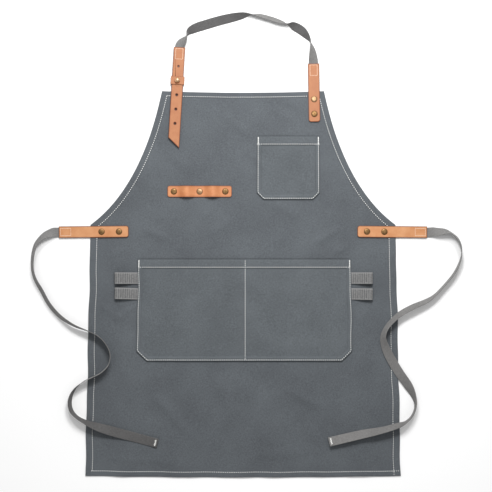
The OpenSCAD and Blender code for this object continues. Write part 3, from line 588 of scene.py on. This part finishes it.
mouthRows = [bibPocket["y"] + d for d in (-8, -4, -1.5, 0, 1, 2.2, 3.6, 5)]
mouthRows += [lowerPocket["y"] + d for d in (-8, -4, -1.5, 0, 1, 2.2, 3.6, 5)]
bodyRows = evenRows(body["bottom"], body["top"], body["rowStep"], hemSteps(body["bottomHem"]),
                    hemSteps(body["topHem"]), mouthRows + [body["waist"], 9.5])
edgeSteps = [(0, 0), (0, 0.2), (0, 0.6), (0, 1.2), (0, 2.5), (0.5, 0), (1, -2.5), (1, -0.7), (1, 0), (1, 0.7),
             (1, 1.15), (1, 1.5), (1, 2.2), (1, 5)]
rightColumns = np.stack([movedIn(bodyPath, bodyHems, share, more, bodyRows) for share, more in edgeSteps], axis=1)
inner = rightColumns[:, -1:]
middleColumns = inner * np.linspace(-1, 1, body["columns"] + 1)[1:-1]
gridX = np.concatenate([-rightColumns, middleColumns, rightColumns[:, ::-1]], axis=1)
gridY = np.repeat(bodyRows[:, None], gridX.shape[1], axis=1)
sideHem = np.where(gridY > body["waist"], body["armholeHem"], body["sideHem"])
fromSide = np.full(gridX.shape, 99.0)
for i, (share, more) in enumerate(edgeSteps):
    for column in (i, gridX.shape[1] - 1 - i):
        fromSide[:, column] = share * sideHem[:, column] + more


def bodyHeights(x, y, side, hem):
    thick = np.maximum.reduce([
        turnedEdge(side, hem, hem + body["fold"], body["hem"], body["cloth"]),
        turnedEdge(y - body["bottom"], body["bottomHem"], body["bottomHem"] + body["fold"], body["hem"], body["cloth"]),
        turnedEdge(body["top"] - y, body["topHem"], body["topHem"] + body["fold"], body["hem"], body["cloth"])])
    near = np.minimum.reduce([side, y - body["bottom"], body["top"] - y])
    rounded = turnedEdge(near, 99, 98, body["hem"], body["cloth"], 0)
    thick = np.where(near < 2.5, np.minimum(thick, rounded), thick)
    low = bodyLift(x, y)
    return low + underEdge(near, body["hem"]), low + thick - mouthDip(x, y)


bodyBottom, bodyTop = bodyHeights(gridX, gridY, fromSide, sideHem)
shownX, shownY = bodyShift(gridX, gridY)
bodyCloth = gridSheet("body_cloth", shownX, shownY, bodyBottom, bodyTop, canvasBody)
settle(bodyCloth, "apron", "canvas", "body_panel")


# The body's top away from its hems
def clothTop(x, y):
    return bodyLift(x, y) + body["cloth"]


# Points of a seam on the body's hem, lifted onto the cloth and shifted with it
def onHem(x, y, top):
    x, y = np.broadcast_arrays(np.asarray(x, float), np.asarray(y, float))
    z = bodyLift(x, y) + top
    shiftedX, shiftedY = bodyShift(x, y)
    return np.stack([shiftedX, shiftedY, z], axis=1)


def seam(points, pitch=stitchSize["pitch"], long=stitchSize["long"]):
    return points, np.tile([0.0, 0.0, 1.0], (len(points), 1)), pitch, long


hemTop = body["hem"] - 0.25
topRow = body["top"] - body["topHem"]
sideRows = np.linspace(body["bottom"] + 2, topRow + 1, 400)
sideSeam = movedIn(bodyPath, bodyHems, 1, 0, sideRows)
bottomSeam = np.linspace(-body["bottomHalf"] + body["sideHem"] - 3, body["bottomHalf"] - 2, 160)
topSeam = np.linspace(-sideSeam[-1], sideSeam[-1], 80)


# Cuts a seam where a riveted tab lies over it. Each tab is x, y, turn, low end and high end in its own frame
tabPlaces = [(150, 230, 1, -1, 122), (-137, 316, -3.5, -142, 70), (240, 0, -90.6, -1, 146), (-240, 0, 90.6, -1, 146)]


def underTab(point):
    for x, y, turn, low, high in tabPlaces:
        a = math.radians(turn)
        dx, dy = point[0] - x, point[1] - y
        if abs(dx * math.cos(a) + dy * math.sin(a)) < 11.5 and low < dy * math.cos(a) - dx * math.sin(a) < high:
            return True
    return False


def aroundTabs(points):
    parts, part = [], []
    for point in points:
        if underTab(point):
            parts, part = parts + [part], []
        else:
            part.append(point)
    return [seam(np.array(p)) for p in parts + [part] if len(p) > 2]


rightStart = sideRows > body["bottom"] + 1
leftStart = sideRows > body["bottom"] + body["bottomHem"] - 2
bodySeams = (aroundTabs(onHem(sideSeam[rightStart], sideRows[rightStart], hemTop))
             + aroundTabs(onHem(-sideSeam[leftStart], sideRows[leftStart], hemTop))
             + [seam(onHem(bottomSeam, body["bottom"] + body["bottomHem"], hemTop))]
             + aroundTabs(onHem(topSeam, topRow, hemTop)))
bodyStitching = settle(stitchPiece("body_stitching", bodySeams), "apron", "thread", "body_topstitch")
print("body ready")


# Pockets
def makePocket(name, pocket, cells, nodes):
    path = [(pocket["bottomHalf"] - pocket["cut"], -pocket["tall"]),
            (pocket["bottomHalf"], -pocket["tall"] + pocket["cut"]), (pocket["mouthHalf"], 0)]
    hem = [pocketMake["seam"]] * 2
    stitch, hemDown = pocketMake["stitch"], pocketMake["mouthHem"]
    steps = [0, 0.2, 0.6, 1.2, 1.9, stitch, 3.3, 4.5, 6.5, 8.2, 8.8, 9.5, 12]
    mouthSteps = [0, 0.2, 0.6, 1.2, 2.2, 3.5, 8, 13, hemDown - 0.8, hemDown, hemDown + 0.8, hemDown + 1.3,
                  hemDown + 2, hemDown + 4]
    rows = evenRows(-pocket["tall"], 0, pocket["rowStep"], steps, mouthSteps,
                    [-pocket["tall"] + pocket["cut"], -pocket["tall"] + pocket["cut"] - 7])
    right = np.stack([movedIn(path, hem, 0, d, rows) for d in steps], axis=1)
    inner = right[:, -1:]
    if len(cells) > 1:  # close columns along the middle seam
        near = np.array([-6, -3, -1.2, -0.6, 0, 0.6, 1.2, 3, 6]) + pocketMake["middle"]
        sweep = np.linspace(0, 1, pocket["columns"] // 2 + 1)[1:-1]
        leftPart = -inner + (inner - 8) * sweep
        rightPart = inner - (inner - 11) * sweep[::-1]
        middle = np.concatenate([leftPart, np.repeat(near[None], len(rows), 0), rightPart], axis=1)
    else:
        middle = inner * np.linspace(-1, 1, pocket["columns"] + 1)[1:-1]
    x = np.concatenate([-right, middle, right[:, ::-1]], axis=1)
    y = np.repeat(rows[:, None], x.shape[1], axis=1)
    side = np.full(x.shape, 99.0)
    for i, d in enumerate(steps):
        side[:, i] = side[:, x.shape[1] - 1 - i] = d
    near = np.minimum(side, y + pocket["tall"])
    half = np.interp(rows, [p[1] for p in path], [p[0] for p in path])[:, None]
    share = x / half
    puff = np.ones(x.shape)
    for low, high in cells:  # each cell stands up between its seams
        puff = np.where((share >= low) & (share <= high),
                        np.abs(np.sin(math.pi * np.clip((share - low) / (high - low), 0, 1))) ** 0.55, puff)
    depth = smoothStep((y + pocket["tall"] - 8) / 40)
    gap = pocket["gap"] * puff * (0.35 + 0.65 * smoothStep(1 + y / 90)) * depth * smoothStep((near - 3) / 14)
    ripple = 0.16 * waves(x, y, 24, 21) * smoothStep((near - 4) / 6) * smoothStep(1.6 - near / 40)
    gap = gap + (ripple + 0.22 * waves(x, y, 60, 22)) * smoothStep((near - 4) / 20)
    gap = np.maximum(gap, 0)
    cloth, edge, mouth = pocketMake["cloth"], pocketMake["edge"], pocketMake["mouthThick"]
    thick = np.maximum(turnedEdge(near, stitch, pocketMake["seam"], edge, cloth, 0.5),
                       turnedEdge(-y, hemDown, hemDown + 1.6, mouth, cloth, 0.4))
    fromEdge = np.minimum(near, -y)
    thick = np.where(fromEdge < 1.2, np.minimum(thick, turnedEdge(fromEdge, 99, 98, edge, cloth, 0)), thick)
    if len(cells) > 1:
        thick = thick - 0.35 * np.exp(-((x - pocketMake["middle"]) / 0.9) ** 2)
    base = clothTop(x + pocket["x"], y + pocket["y"]) + 0.02
    bottom = base + gap + underEdge(fromEdge, edge)
    top = base + gap + thick
    shownX, shownY = bodyShift(x + pocket["x"], y + pocket["y"])
    cloths = gridSheet(name + "_cloth", shownX, shownY, bottom, top.copy(), canvasPocket)
    settle(cloths, "apron", "canvas", nodes[0])

    def topAt(px, py):  # the pocket's top at points, from the nearest rows and columns
        found = []
        for a, b in zip(px, py):
            r = np.searchsorted(rows, b)
            r = min(max(r, 1), len(rows) - 1)
            t = (b - rows[r - 1]) / (rows[r] - rows[r - 1])
            found.append(np.interp(a, x[r - 1], top[r - 1]) * (1 - t) + np.interp(a, x[r], top[r]) * t)
        return np.array(found)

    def sewn(px, py, pitch=stitchSize["pitch"], long=stitchSize["long"], sink=0.05):
        px, py = np.broadcast_arrays(np.asarray(px, float), np.asarray(py, float))
        z = topAt(px, py) + stitchSize["high"] * 0.3 - sink
        sx, sy = bodyShift(px + pocket["x"], py + pocket["y"])
        return seam(np.stack([sx, sy, z], axis=1), pitch, long)

    down = np.linspace(-1.5, -pocket["tall"] + stitch, 150)
    edgeX = movedIn(path, hem, 0, stitch, down)
    lines = [sewn(edgeX, down), sewn(-edgeX, down)]
    reach = edgeX[-1] + 0.5
    lines.append(sewn(np.linspace(-reach, reach, 90), -pocket["tall"] + stitch))
    mouthReach = movedIn(path, hem, 0, -0.8, [-hemDown])[0]
    lines.append(sewn(np.linspace(-mouthReach, mouthReach, 90), -hemDown))
    for way in (-1, 1):  # doubled sewing at the mouth's corners
        short = np.linspace(-0.8, -hemDown, 14)
        for inwards in (stitch - 0.4, stitch + 0.4):
            lines.append(sewn(way * movedIn(path, hem, 0, inwards, short), short, 2.6, 1.8))
    if len(cells) > 1:
        lines.append(sewn(pocketMake["middle"], np.linspace(-1, -pocket["tall"] + stitch, 90)))
    sewing = settle(stitchPiece(name + "_stitching", lines), "apron", "thread", nodes[1])


makePocket("bib_pocket", bibPocket, [(-1, 1)], ("bib_pocket", "bib_pocket_topstitch"))
middleShare = pocketMake["middle"] / lowerPocket["bottomHalf"]
makePocket("lower_pocket", lowerPocket, [(-1, middleShare), (middleShare, 1)], ("lower_pocket", "lower_pocket_topstitch"))
print("pockets ready")

# Webbing loops at the lower pocket's sides
loop = {"wide": 24, "thick": 1.4, "reach": 47, "rise": 10, "start": 222, "rows": {"upper": -98, "lower": -131}}


def makeLoop(side, row, y, tilt):
    radius = (loop["rise"] - loop["thick"]) / 2
    turn = [(loop["reach"] - loop["rise"] / 2 + radius * math.cos(a), loop["rise"] / 2 + radius * math.sin(a))
            for a in np.radians(np.arange(-90, 121, 15))]
    low = [(u, loop["thick"] / 2) for u in (-4, 4, 14, 26, 36)]
    high = [(34, 8.2), (24, 6.3), (14, 4.1), (7, 2.7), (2, 2.15), (-4, 2.1)]
    line = np.array(low + turn + high)
    fine = smoothLine(np.column_stack([np.cumsum(np.r_[0, np.linalg.norm(np.diff(line, axis=0), axis=1)]),
                                       np.zeros(len(line)), line]), 1.2)[:, 2:]
    along = unitRows(np.gradient(fine, axis=0))
    x0 = lowerPocket["x"] + side * (loop["start"] if side > 0 else loop["start"] + 3)
    lean = math.radians(tilt)
    reach = fine[:, 0]
    base = clothTop(np.array([x0 + side * 12]), np.array([y]))[0]
    centre = np.stack([x0 + side * reach * math.cos(lean), y + reach * math.sin(lean), base + fine[:, 1]], axis=1)
    wide = np.tile([-side * math.sin(lean), math.cos(lean), 0.0], (len(fine), 1))
    thick = np.stack([-side * along[:, 1], np.zeros(len(fine)), along[:, 0]], axis=1)
    name = ("left_" if side < 0 else "right_") + row + "_loop"
    piece = strip(name + "_webbing", centre, wide, thick, loop, webbingLoop)
    settle(piece, "apron", "webbing", name)


for side in (-1, 1):
    for row, y in loop["rows"].items():
        makeLoop(side, row, y, {(-1, "lower"): 2.0, (1, "lower"): -0.6}.get((side, row), 0.3))
print("loops ready")


# Leather
leatherSize = {"wide": 24, "thick": 2.2, "corner": 5, "soft": 0.35, "rim": 2.0}


# Distance of each point from the outline, or from a hole's edge if that is nearer
def fromOutline(points, outline, holes):
    best = np.full(len(points), 1e3)
    for a, b in zip(outline, outline[1:] + outline[:1]):
        a, b = np.array(a, float), np.array(b, float)
        t = np.clip((points - a) @ (b - a) / ((b - a) @ (b - a)), 0, 1)
        best = np.minimum(best, np.linalg.norm(points - a - t[:, None] * (b - a), axis=1))
    for x, y, radius in holes:
        best = np.minimum(best, np.abs(np.hypot(points[:, 0] - x, points[:, 1] - y) - radius))
    return best


def markRim(obj, amounts):
    layer = obj.data.attributes.new("rim", "FLOAT", "POINT")
    layer.data.foreach_set("value", np.asarray(amounts, np.float32))


def applyModifier(obj, kind, **settings):
    modifier = obj.modifiers.new(kind.lower(), kind)
    for name, value in settings.items():
        setattr(modifier, name, value)
    pickOnly(obj)
    bpy.ops.object.modifier_apply(modifier=modifier.name)


# A flat cut piece of leather in its own frame: y runs from low to high, the tip may be cut slanting
def leatherPlate(name, low, high, bottom, holes, hide=leather, roundLow=True, slant=0):
    half, thick, r = leatherSize["wide"] / 2, leatherSize["thick"], leatherSize["corner"]
    deselectAll()
    bpy.ops.mesh.primitive_plane_add(size=1, location=(0, (low + high) / 2 * mm, bottom * mm))
    obj = bpy.context.object
    obj.name = obj.data.name = name
    bpy.ops.transform.resize(value=(2 * half * mm, (high - low) * mm, 1))
    bpy.ops.object.transform_apply(location=True, rotation=True, scale=True)
    if slant:
        for v in obj.data.vertices:
            if v.co.y < low * mm + 1e-6 and v.co.x < 0:
                v.co.y += slant * mm
    for v in obj.data.vertices:
        v.select = bool(roundLow and v.co.y < (low + 1) * mm)
    for part in (*obj.data.edges, *obj.data.polygons):
        part.select = False
    bpy.ops.object.mode_set(mode="EDIT")
    bpy.ops.mesh.select_mode(type="VERT")
    if roundLow:
        bpy.ops.mesh.bevel(offset=r * mm, segments=6, affect="VERTICES", offset_type="OFFSET")
    bpy.ops.mesh.select_mode(type="FACE")
    bpy.ops.mesh.select_all(action="SELECT")
    bpy.ops.mesh.extrude_region_move(TRANSFORM_OT_translate={"value": (0, 0, thick * mm)})
    bpy.ops.mesh.select_all(action="SELECT")
    bpy.ops.mesh.normals_make_consistent(inside=False)
    bpy.ops.object.mode_set(mode="OBJECT")
    outline = [tuple(np.array(v.co[:2]) / mm) for v in obj.data.vertices if v.co.z > (bottom + thick / 2) * mm]
    outline.sort(key=lambda p: math.atan2(p[1] - (low + high) / 2, p[0]))
    for x, y, radius in holes:
        deselectAll()
        bpy.ops.mesh.primitive_cylinder_add(vertices=28, radius=radius * mm, depth=0.02,
                                            location=(x * mm, y * mm, bottom * mm))
        cutter = bpy.context.object
        applyModifier(obj, "BOOLEAN", operation="DIFFERENCE", object=cutter, solver="EXACT")
        bpy.data.objects.remove(cutter)
    for p in obj.data.polygons:
        p.select = abs(p.normal.z) > 0.9
    pickOnly(obj)
    bpy.ops.object.mode_set(mode="EDIT")
    bpy.ops.mesh.inset(thickness=leatherSize["rim"] * mm, depth=0, use_boundary=True)
    bpy.ops.object.mode_set(mode="OBJECT")
    applyModifier(obj, "BEVEL", width=leatherSize["soft"] * mm, segments=3, limit_method="ANGLE",
                  angle_limit=math.radians(50))
    points = np.array([v.co[:2] for v in obj.data.vertices]) / mm
    away = fromOutline(points, outline, holes)
    markRim(obj, smoothStep(1 - away / leatherSize["rim"]))
    obj.data.materials.append(hide)
    pickOnly(obj)
    bpy.ops.object.shade_smooth_by_angle(angle=math.radians(40))
    return obj


def turned(x, y, degrees):
    return Matrix.Translation((x * mm, y * mm, 0)) @ Matrix.Rotation(math.radians(degrees), 4, "Z")


# A box of stitches inside a strap's end, on top of the leather
def boxStitch(name, end, top, place, node, body):
    w, near, far = 7.5, end - 25, end - 3
    corners = [(-w, near), (w, near), (w, far), (-w, far), (-w, near)]
    lines = []
    for a, b in zip(corners, corners[1:]):
        line = np.linspace((*a, top + 0.15), (*b, top + 0.15), 8)
        line = np.array([place @ (Vector(p) * mm) for p in line]) / mm
        lines.append(seam(line, 2.9, 2.3))
    settle(stitchPiece(name, lines, 0.7, threadTan), body, "thread", node)


neckTab = {"x": 150, "y": 230, "turn": 1, "long": 122, "rivets": [16.5, 47.5]}
waistTab = {"x": 240, "turn": 90.6, "long": 146, "rivets": [20, 56.5]}
adjuster = {"x": -137, "y": 316, "turn": -3.5, "up": 70, "down": 141, "slant": 21, "pitch": 30, "hole": 2.3,
            "spareHole": 1.6}
shank = 2.0

neckPlace = turned(neckTab["x"], neckTab["y"], neckTab["turn"])
plate = leatherPlate("neck_tab_leather", 0, neckTab["long"], tabZ, [(0, y, shank) for y in neckTab["rivets"]],
                     leatherNeck)
plate.data.transform(neckPlace)
settle(plate, "apron", "leather", "neck_tab")
boxStitch("neck_tab_sewing", neckTab["long"], tabTop, neckPlace, "neck_tab_box_stitch", "apron")

waistPlaces = {}
for side, word in ((-1, "left"), (1, "right")):
    waistPlaces[word] = turned(side * waistTab["x"], 0, -side * waistTab["turn"])
    plate = leatherPlate(word + "_waist_leather", 0, waistTab["long"], tabZ,
                         [(0, y, shank) for y in waistTab["rivets"]])
    plate.data.transform(waistPlaces[word])
    settle(plate, "apron", "leather", word + "_waist_tab")
    boxStitch(word + "_waist_sewing", waistTab["long"], tabTop, waistPlaces[word], word + "_waist_box_stitch",
              "apron")

strapPlace = turned(adjuster["x"], adjuster["y"], adjuster["turn"])
plate = leatherPlate("adjusting_strap_leather", -adjuster["down"], adjuster["up"], strapZ,
                     [(0, i * adjuster["pitch"], adjuster["hole"]) for i in range(-3, 1)]
                     + [(0, adjuster["pitch"], adjuster["spareHole"])],
                     leatherNeck, roundLow=False, slant=adjuster["slant"])
plate.data.transform(strapPlace)
settle(plate, "neck_strap", "leather", "adjusting_strap")
boxStitch("adjusting_strap_sewing", adjuster["up"], strapZ + leatherSize["thick"], strapPlace,
          "adjusting_strap_box_stitch", "neck_strap")

# The keeper: a band of thinner leather round the strap
keeper = {"wide": 28.2, "long": 17, "low": 0.6, "high": 10.2, "thick": 1.8, "hole": 2.3}
deselectAll()
bpy.ops.mesh.primitive_cube_add(size=1, location=(0, 0, (keeper["low"] + keeper["high"]) / 2 * mm))
band = bpy.context.object
band.name = band.data.name = "keeper_leather"
bpy.ops.transform.resize(value=(keeper["wide"] * mm, keeper["long"] * mm, (keeper["high"] - keeper["low"]) * mm))
bpy.ops.object.transform_apply(location=True, rotation=True, scale=True)
for part in (*band.data.vertices, *band.data.edges):
    part.select = False
for p in band.data.polygons:
    p.select = abs(p.normal.y) > 0.9
bpy.ops.object.mode_set(mode="EDIT")
bpy.ops.mesh.select_mode(type="FACE")
bpy.ops.mesh.delete(type="ONLY_FACE")
bpy.ops.mesh.select_all(action="SELECT")
bpy.ops.mesh.normals_make_consistent(inside=False)
bpy.ops.object.mode_set(mode="OBJECT")
applyModifier(band, "SOLIDIFY", thickness=keeper["thick"] * mm, offset=-1, use_even_offset=True)
for z, radius in ((keeper["high"], keeper["hole"]), (keeper["low"], 1.2)):
    deselectAll()
    bpy.ops.mesh.primitive_cylinder_add(vertices=28, radius=radius * mm, depth=0.005, location=(0, 0, z * mm))
    cutter = bpy.context.object
    applyModifier(band, "BOOLEAN", operation="DIFFERENCE", object=cutter, solver="EXACT")
    bpy.data.objects.remove(cutter)
for p in band.data.polygons:
    p.select = abs(p.normal.z) > 0.9 and abs(abs(p.center.z / mm - 5.4) - 4.8) < 0.2
pickOnly(band)
bpy.ops.object.mode_set(mode="EDIT")
bpy.ops.mesh.inset(thickness=0.9 * mm, depth=0, use_boundary=True)
bpy.ops.object.mode_set(mode="OBJECT")
applyModifier(band, "BEVEL", width=0.5 * mm, segments=3, limit_method="ANGLE", angle_limit=math.radians(50))
markRim(band, [smoothStep(1 - (keeper["long"] / 2 - abs(v.co.y / mm)) / 0.9) for v in band.data.vertices])
band.data.materials.append(leatherNeck)
pickOnly(band)
bpy.ops.object.shade_smooth_by_angle(angle=math.radians(40))
band.data.transform(strapPlace)
settle(band, "apron", "leather", "keeper_loop")

# The tool strap: a strip held down by three rivets, standing up in two arches
toolStrap = {"x": -91, "y": 84, "reach": 67.5, "pitch": 54, "arch": 7, "halfSpan": 19.8, "low": 1.0, "corner": 5}
ends = [0, 0.15, 0.6, 1.5, 3, 5]
stations = [-toolStrap["reach"] + e for e in ends]
stations += list(np.linspace(-toolStrap["reach"] + 7, toolStrap["reach"] - 7, 74))
stations += [toolStrap["reach"] - e for e in ends[::-1]]
across = [-1, -0.97, -0.89, -0.6, -0.2, 0.2, 0.6, 0.89, 0.97, 1]
deselectAll()
bpy.ops.mesh.primitive_grid_add(x_subdivisions=len(stations) - 1, y_subdivisions=len(across) - 1, size=1)
strapPiece = bpy.context.object
strapPiece.name = strapPiece.data.name = "tool_strap_leather"
rimAndSlopeShade = []
for v in strapPiece.data.vertices:
    u = stations[round((v.co.x + 0.5) * (len(stations) - 1))]
    w = across[round((v.co.y + 0.5) * (len(across) - 1))]
    toEnd = toolStrap["reach"] - abs(u)
    half = leatherSize["wide"] / 2
    if toEnd < toolStrap["corner"]:
        half -= toolStrap["corner"] - math.sqrt(max(0, toolStrap["corner"] ** 2 - (toolStrap["corner"] - toEnd) ** 2))
    fromCrest = abs(abs(u) - toolStrap["pitch"] / 2)
    rise = 0
    if fromCrest < toolStrap["halfSpan"]:
        rise = toolStrap["arch"] * (1 + math.cos(math.pi * fromCrest / toolStrap["halfSpan"])) / 2
    steep = abs(math.sin(math.pi * fromCrest / toolStrap["halfSpan"])) if rise > 0 else 0
    edgeRim = float(smoothStep(1 - min(toEnd, (1 - abs(w)) * half) / leatherSize["rim"]))
    # On the arches' steep sides the rim colour is mixed in at 0.13: painted shade where the leather faces away from the
    # light
    rimAndSlopeShade.append(max(edgeRim, 0.13 * steep))
    v.co = ((toolStrap["x"] + u) * mm, (toolStrap["y"] + w * half) * mm, (toolStrap["low"] + rise) * mm)
markRim(strapPiece, rimAndSlopeShade)
strapPiece.data.materials.append(leatherTool)
turnOutwards(strapPiece)
if strapPiece.data.polygons[0].normal.z < 0:
    pickOnly(strapPiece)
    bpy.ops.object.mode_set(mode="EDIT")
    bpy.ops.mesh.flip_normals()
    bpy.ops.object.mode_set(mode="OBJECT")
applyModifier(strapPiece, "SOLIDIFY", thickness=leatherSize["thick"] * mm, offset=1)
applyModifier(strapPiece, "BEVEL", width=0.3 * mm, segments=3, limit_method="ANGLE",
              angle_limit=math.radians(60))
pickOnly(strapPiece)
bpy.ops.object.shade_smooth_by_angle(angle=math.radians(40))
settle(strapPiece, "apron", "leather", "tool_strap")

# Patches of folded canvas under the riveted tabs, hidden by the leather
for name, place, low, high in (("neck_patch", neckPlace, 1, 50), ("left_waist_patch", waistPlaces["left"], 1, 62),
                               ("right_waist_patch", waistPlaces["right"], 1, 62), ("anchor_patch", strapPlace, -91, -38)):
    deselectAll()
    bpy.ops.mesh.primitive_cube_add(size=1, location=(0, (low + high) / 2 * mm, 1.65 * mm))
    patch = bpy.context.object
    patch.name = patch.data.name = name
    bpy.ops.transform.resize(value=(21.6 * mm, (high - low) * mm, 1.46 * mm))
    bpy.ops.object.transform_apply(location=True, rotation=True, scale=True)
    applyModifier(patch, "BEVEL", width=0.5 * mm, segments=3)
    patch.data.transform(place)
    patch.data.materials.append(canvasBody)
    pickOnly(patch)
    bpy.ops.object.shade_smooth_by_angle(angle=math.radians(40))
    settle(patch, "apron", "canvas")
print("leather ready")

# Rivets and stud
cap = {"radius": 6.7, "rim": 0.4, "steps": [(0.25, 0.35), (0.35, 0.35), (0.6, 0.35), (0.95, 0.3), (1.25, 0.2), (1.3, 0.08)]}


# A domed cap from a disc
def makeCap(name, x, y, seat, material, node):
    deselectAll()
    bpy.ops.mesh.primitive_circle_add(vertices=40, radius=cap["radius"] * mm, fill_type="NGON",
                                      location=(0, 0, seat * mm))
    obj = bpy.context.object
    obj.name = obj.data.name = name
    bpy.ops.object.transform_apply(location=True, rotation=True, scale=True)
    bpy.ops.object.mode_set(mode="EDIT")
    bpy.ops.mesh.select_mode(type="FACE")
    bpy.ops.mesh.select_all(action="SELECT")
    bpy.ops.mesh.extrude_region_move(TRANSFORM_OT_translate={"value": (0, 0, cap["rim"] * mm)})
    for thickness, depth in cap["steps"]:
        bpy.ops.mesh.inset(thickness=thickness * mm, depth=depth * mm)
    bpy.ops.mesh.poke(offset=0.05 * mm)
    bpy.ops.mesh.select_all(action="SELECT")
    bpy.ops.mesh.normals_make_consistent(inside=False)
    bpy.ops.object.mode_set(mode="OBJECT")
    obj.data.transform(Matrix.Translation((x * mm, y * mm, 0)))
    obj.data.materials.append(material)
    pickOnly(obj)
    bpy.ops.object.shade_smooth_by_angle(angle=math.radians(50))
    settle(obj, "apron", "brass", node)


capPlaces = {
    "tool_strap_rivet_caps": [(toolStrap["x"] + i * toolStrap["pitch"], toolStrap["y"], 3.2) for i in (-1, 0, 1)],
    "neck_tab_rivet_caps": [(*(neckPlace @ Vector((0, y * mm, 0)))[:2], tabTop) for y in neckTab["rivets"]],
    "left_waist_rivet_caps": [(*(waistPlaces["left"] @ Vector((0, y * mm, 0)))[:2], tabTop) for y in waistTab["rivets"]],
    "right_waist_rivet_caps": [(*(waistPlaces["right"] @ Vector((0, y * mm, 0)))[:2], tabTop) for y in waistTab["rivets"]]}
for node, places in capPlaces.items():
    for number, (x, y, seat) in enumerate(places):
        inMetres = node != "tool_strap_rivet_caps"
        x, y = (x / mm, y / mm) if inMetres else (x, y)
        # The middle tool-strap cap and the upper neck-tab cap take the lighter brass: a painted highlight
        highlightCap = node in ("tool_strap_rivet_caps", "neck_tab_rivet_caps") and number == 1
        finish = brassPaintedBright if highlightCap else brass
        makeCap(node[:-1] + "_" + str(number + 1), x, y, seat, finish, node)

stud = {"ball": 5.5, "middle": 14.8, "flat": 10.5, "neck": 1.9, "low": 4.6}
deselectAll()
bpy.ops.mesh.primitive_uv_sphere_add(segments=40, ring_count=24, radius=stud["ball"] * mm,
                                     location=(0, 0, stud["middle"] * mm))
head = bpy.context.object
head.name = head.data.name = "stud_ball"
bpy.ops.object.transform_apply(location=True, rotation=True, scale=True)
bpy.ops.object.mode_set(mode="EDIT")
bpy.ops.mesh.select_all(action="SELECT")
bpy.ops.mesh.bisect(plane_co=(0, 0, stud["flat"] * mm), plane_no=(0, 0, 1), clear_inner=True, use_fill=True)
bpy.ops.mesh.select_mode(type="FACE")
bpy.ops.mesh.inset(thickness=0.65 * mm, depth=0)
bpy.ops.mesh.extrude_region_move(TRANSFORM_OT_translate={"value": (0, 0, (stud["low"] - stud["flat"]) * mm)})
bpy.ops.mesh.select_all(action="SELECT")
bpy.ops.mesh.normals_make_consistent(inside=False)
bpy.ops.object.mode_set(mode="OBJECT")
head.data.transform(strapPlace)
head.data.materials.append(brassStud)
pickOnly(head)
bpy.ops.object.shade_smooth_by_angle(angle=math.radians(40))
settle(head, "apron", "brass", "stud_head")

# The anchor tab under the strap takes the near-black leather, painted shade seen through its holes; the CAD rivets and
# the screw take brass
for name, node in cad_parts.items():
    finish = leatherPaintedShade if name == "anchor_tab" else brass
    if name == "anchor_tab" or "rivet" in name or name == "stud_screw":
        node.data.materials.clear()
        node.data.materials.append(finish)
print("rivets ready")

# Floor and light
light = {"sun": 0.75, "sunSpread": 5, "key": 12.7, "keySize": 0.35, "world": 0.56}
deselectAll()
bpy.ops.mesh.primitive_plane_add(size=12, location=(0, 0, -0.0002))
floor = bpy.context.object
floor.name = floor.data.name = "floor"
floorMaterial, tree = newMaterial("matteWhitePaper")
floorPlace = addNode(tree, "SeparateXYZ", {0: addNode(tree, "TexCoord").outputs["Object"]})
# The paper is painted darker from the bottom up to the middle (0.95 to 0.88), where the lamps light it more: painted
# shade so that shadows on it show
floorPaintedShade = addNode(tree, "MapRange", {0: floorPlace.outputs[1], 1: -0.5, 2: 0.05, 3: 0.95, 4: 0.88})
floorShader = addNode(tree, "BsdfPrincipled", {"Base Color": floorPaintedShade.outputs[0], "Roughness": 1.0,
                                               "Specular IOR Level": 0.0})
floor.data.materials.append(finishMaterial(floorMaterial, tree, floorShader))
floor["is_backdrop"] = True


def addLight(name, kind, power, place, aim, **settings):
    lamp = bpy.data.objects.new(name, bpy.data.lights.new(name, kind))
    bpy.context.scene.collection.objects.link(lamp)
    lamp.data.energy = power
    for setting, value in settings.items():
        setattr(lamp.data, setting, value)
    lamp.location = place
    lamp.rotation_euler = (Vector(aim) - Vector(place)).to_track_quat("-Z", "Y").to_euler()
    lamp.visible_camera = False


addLight("sunLight", "SUN", light["sun"], (0.1, 1.9, 2.0), (0, 0, 0), angle=math.radians(light["sunSpread"]))
addLight("keyLight", "AREA", light["key"], (0.06, 0.62, 1.0), (0.06, 0.1, 0), size=light["keySize"])
world = bpy.data.worlds.new("studio")
bpy.context.scene.world = world
world.use_nodes = True
background = world.node_tree.nodes["Background"]
background.inputs["Color"].default_value = (1, 1, 1, 1)
background.inputs["Strength"].default_value = light["world"]

low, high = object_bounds()
print("scene ready")
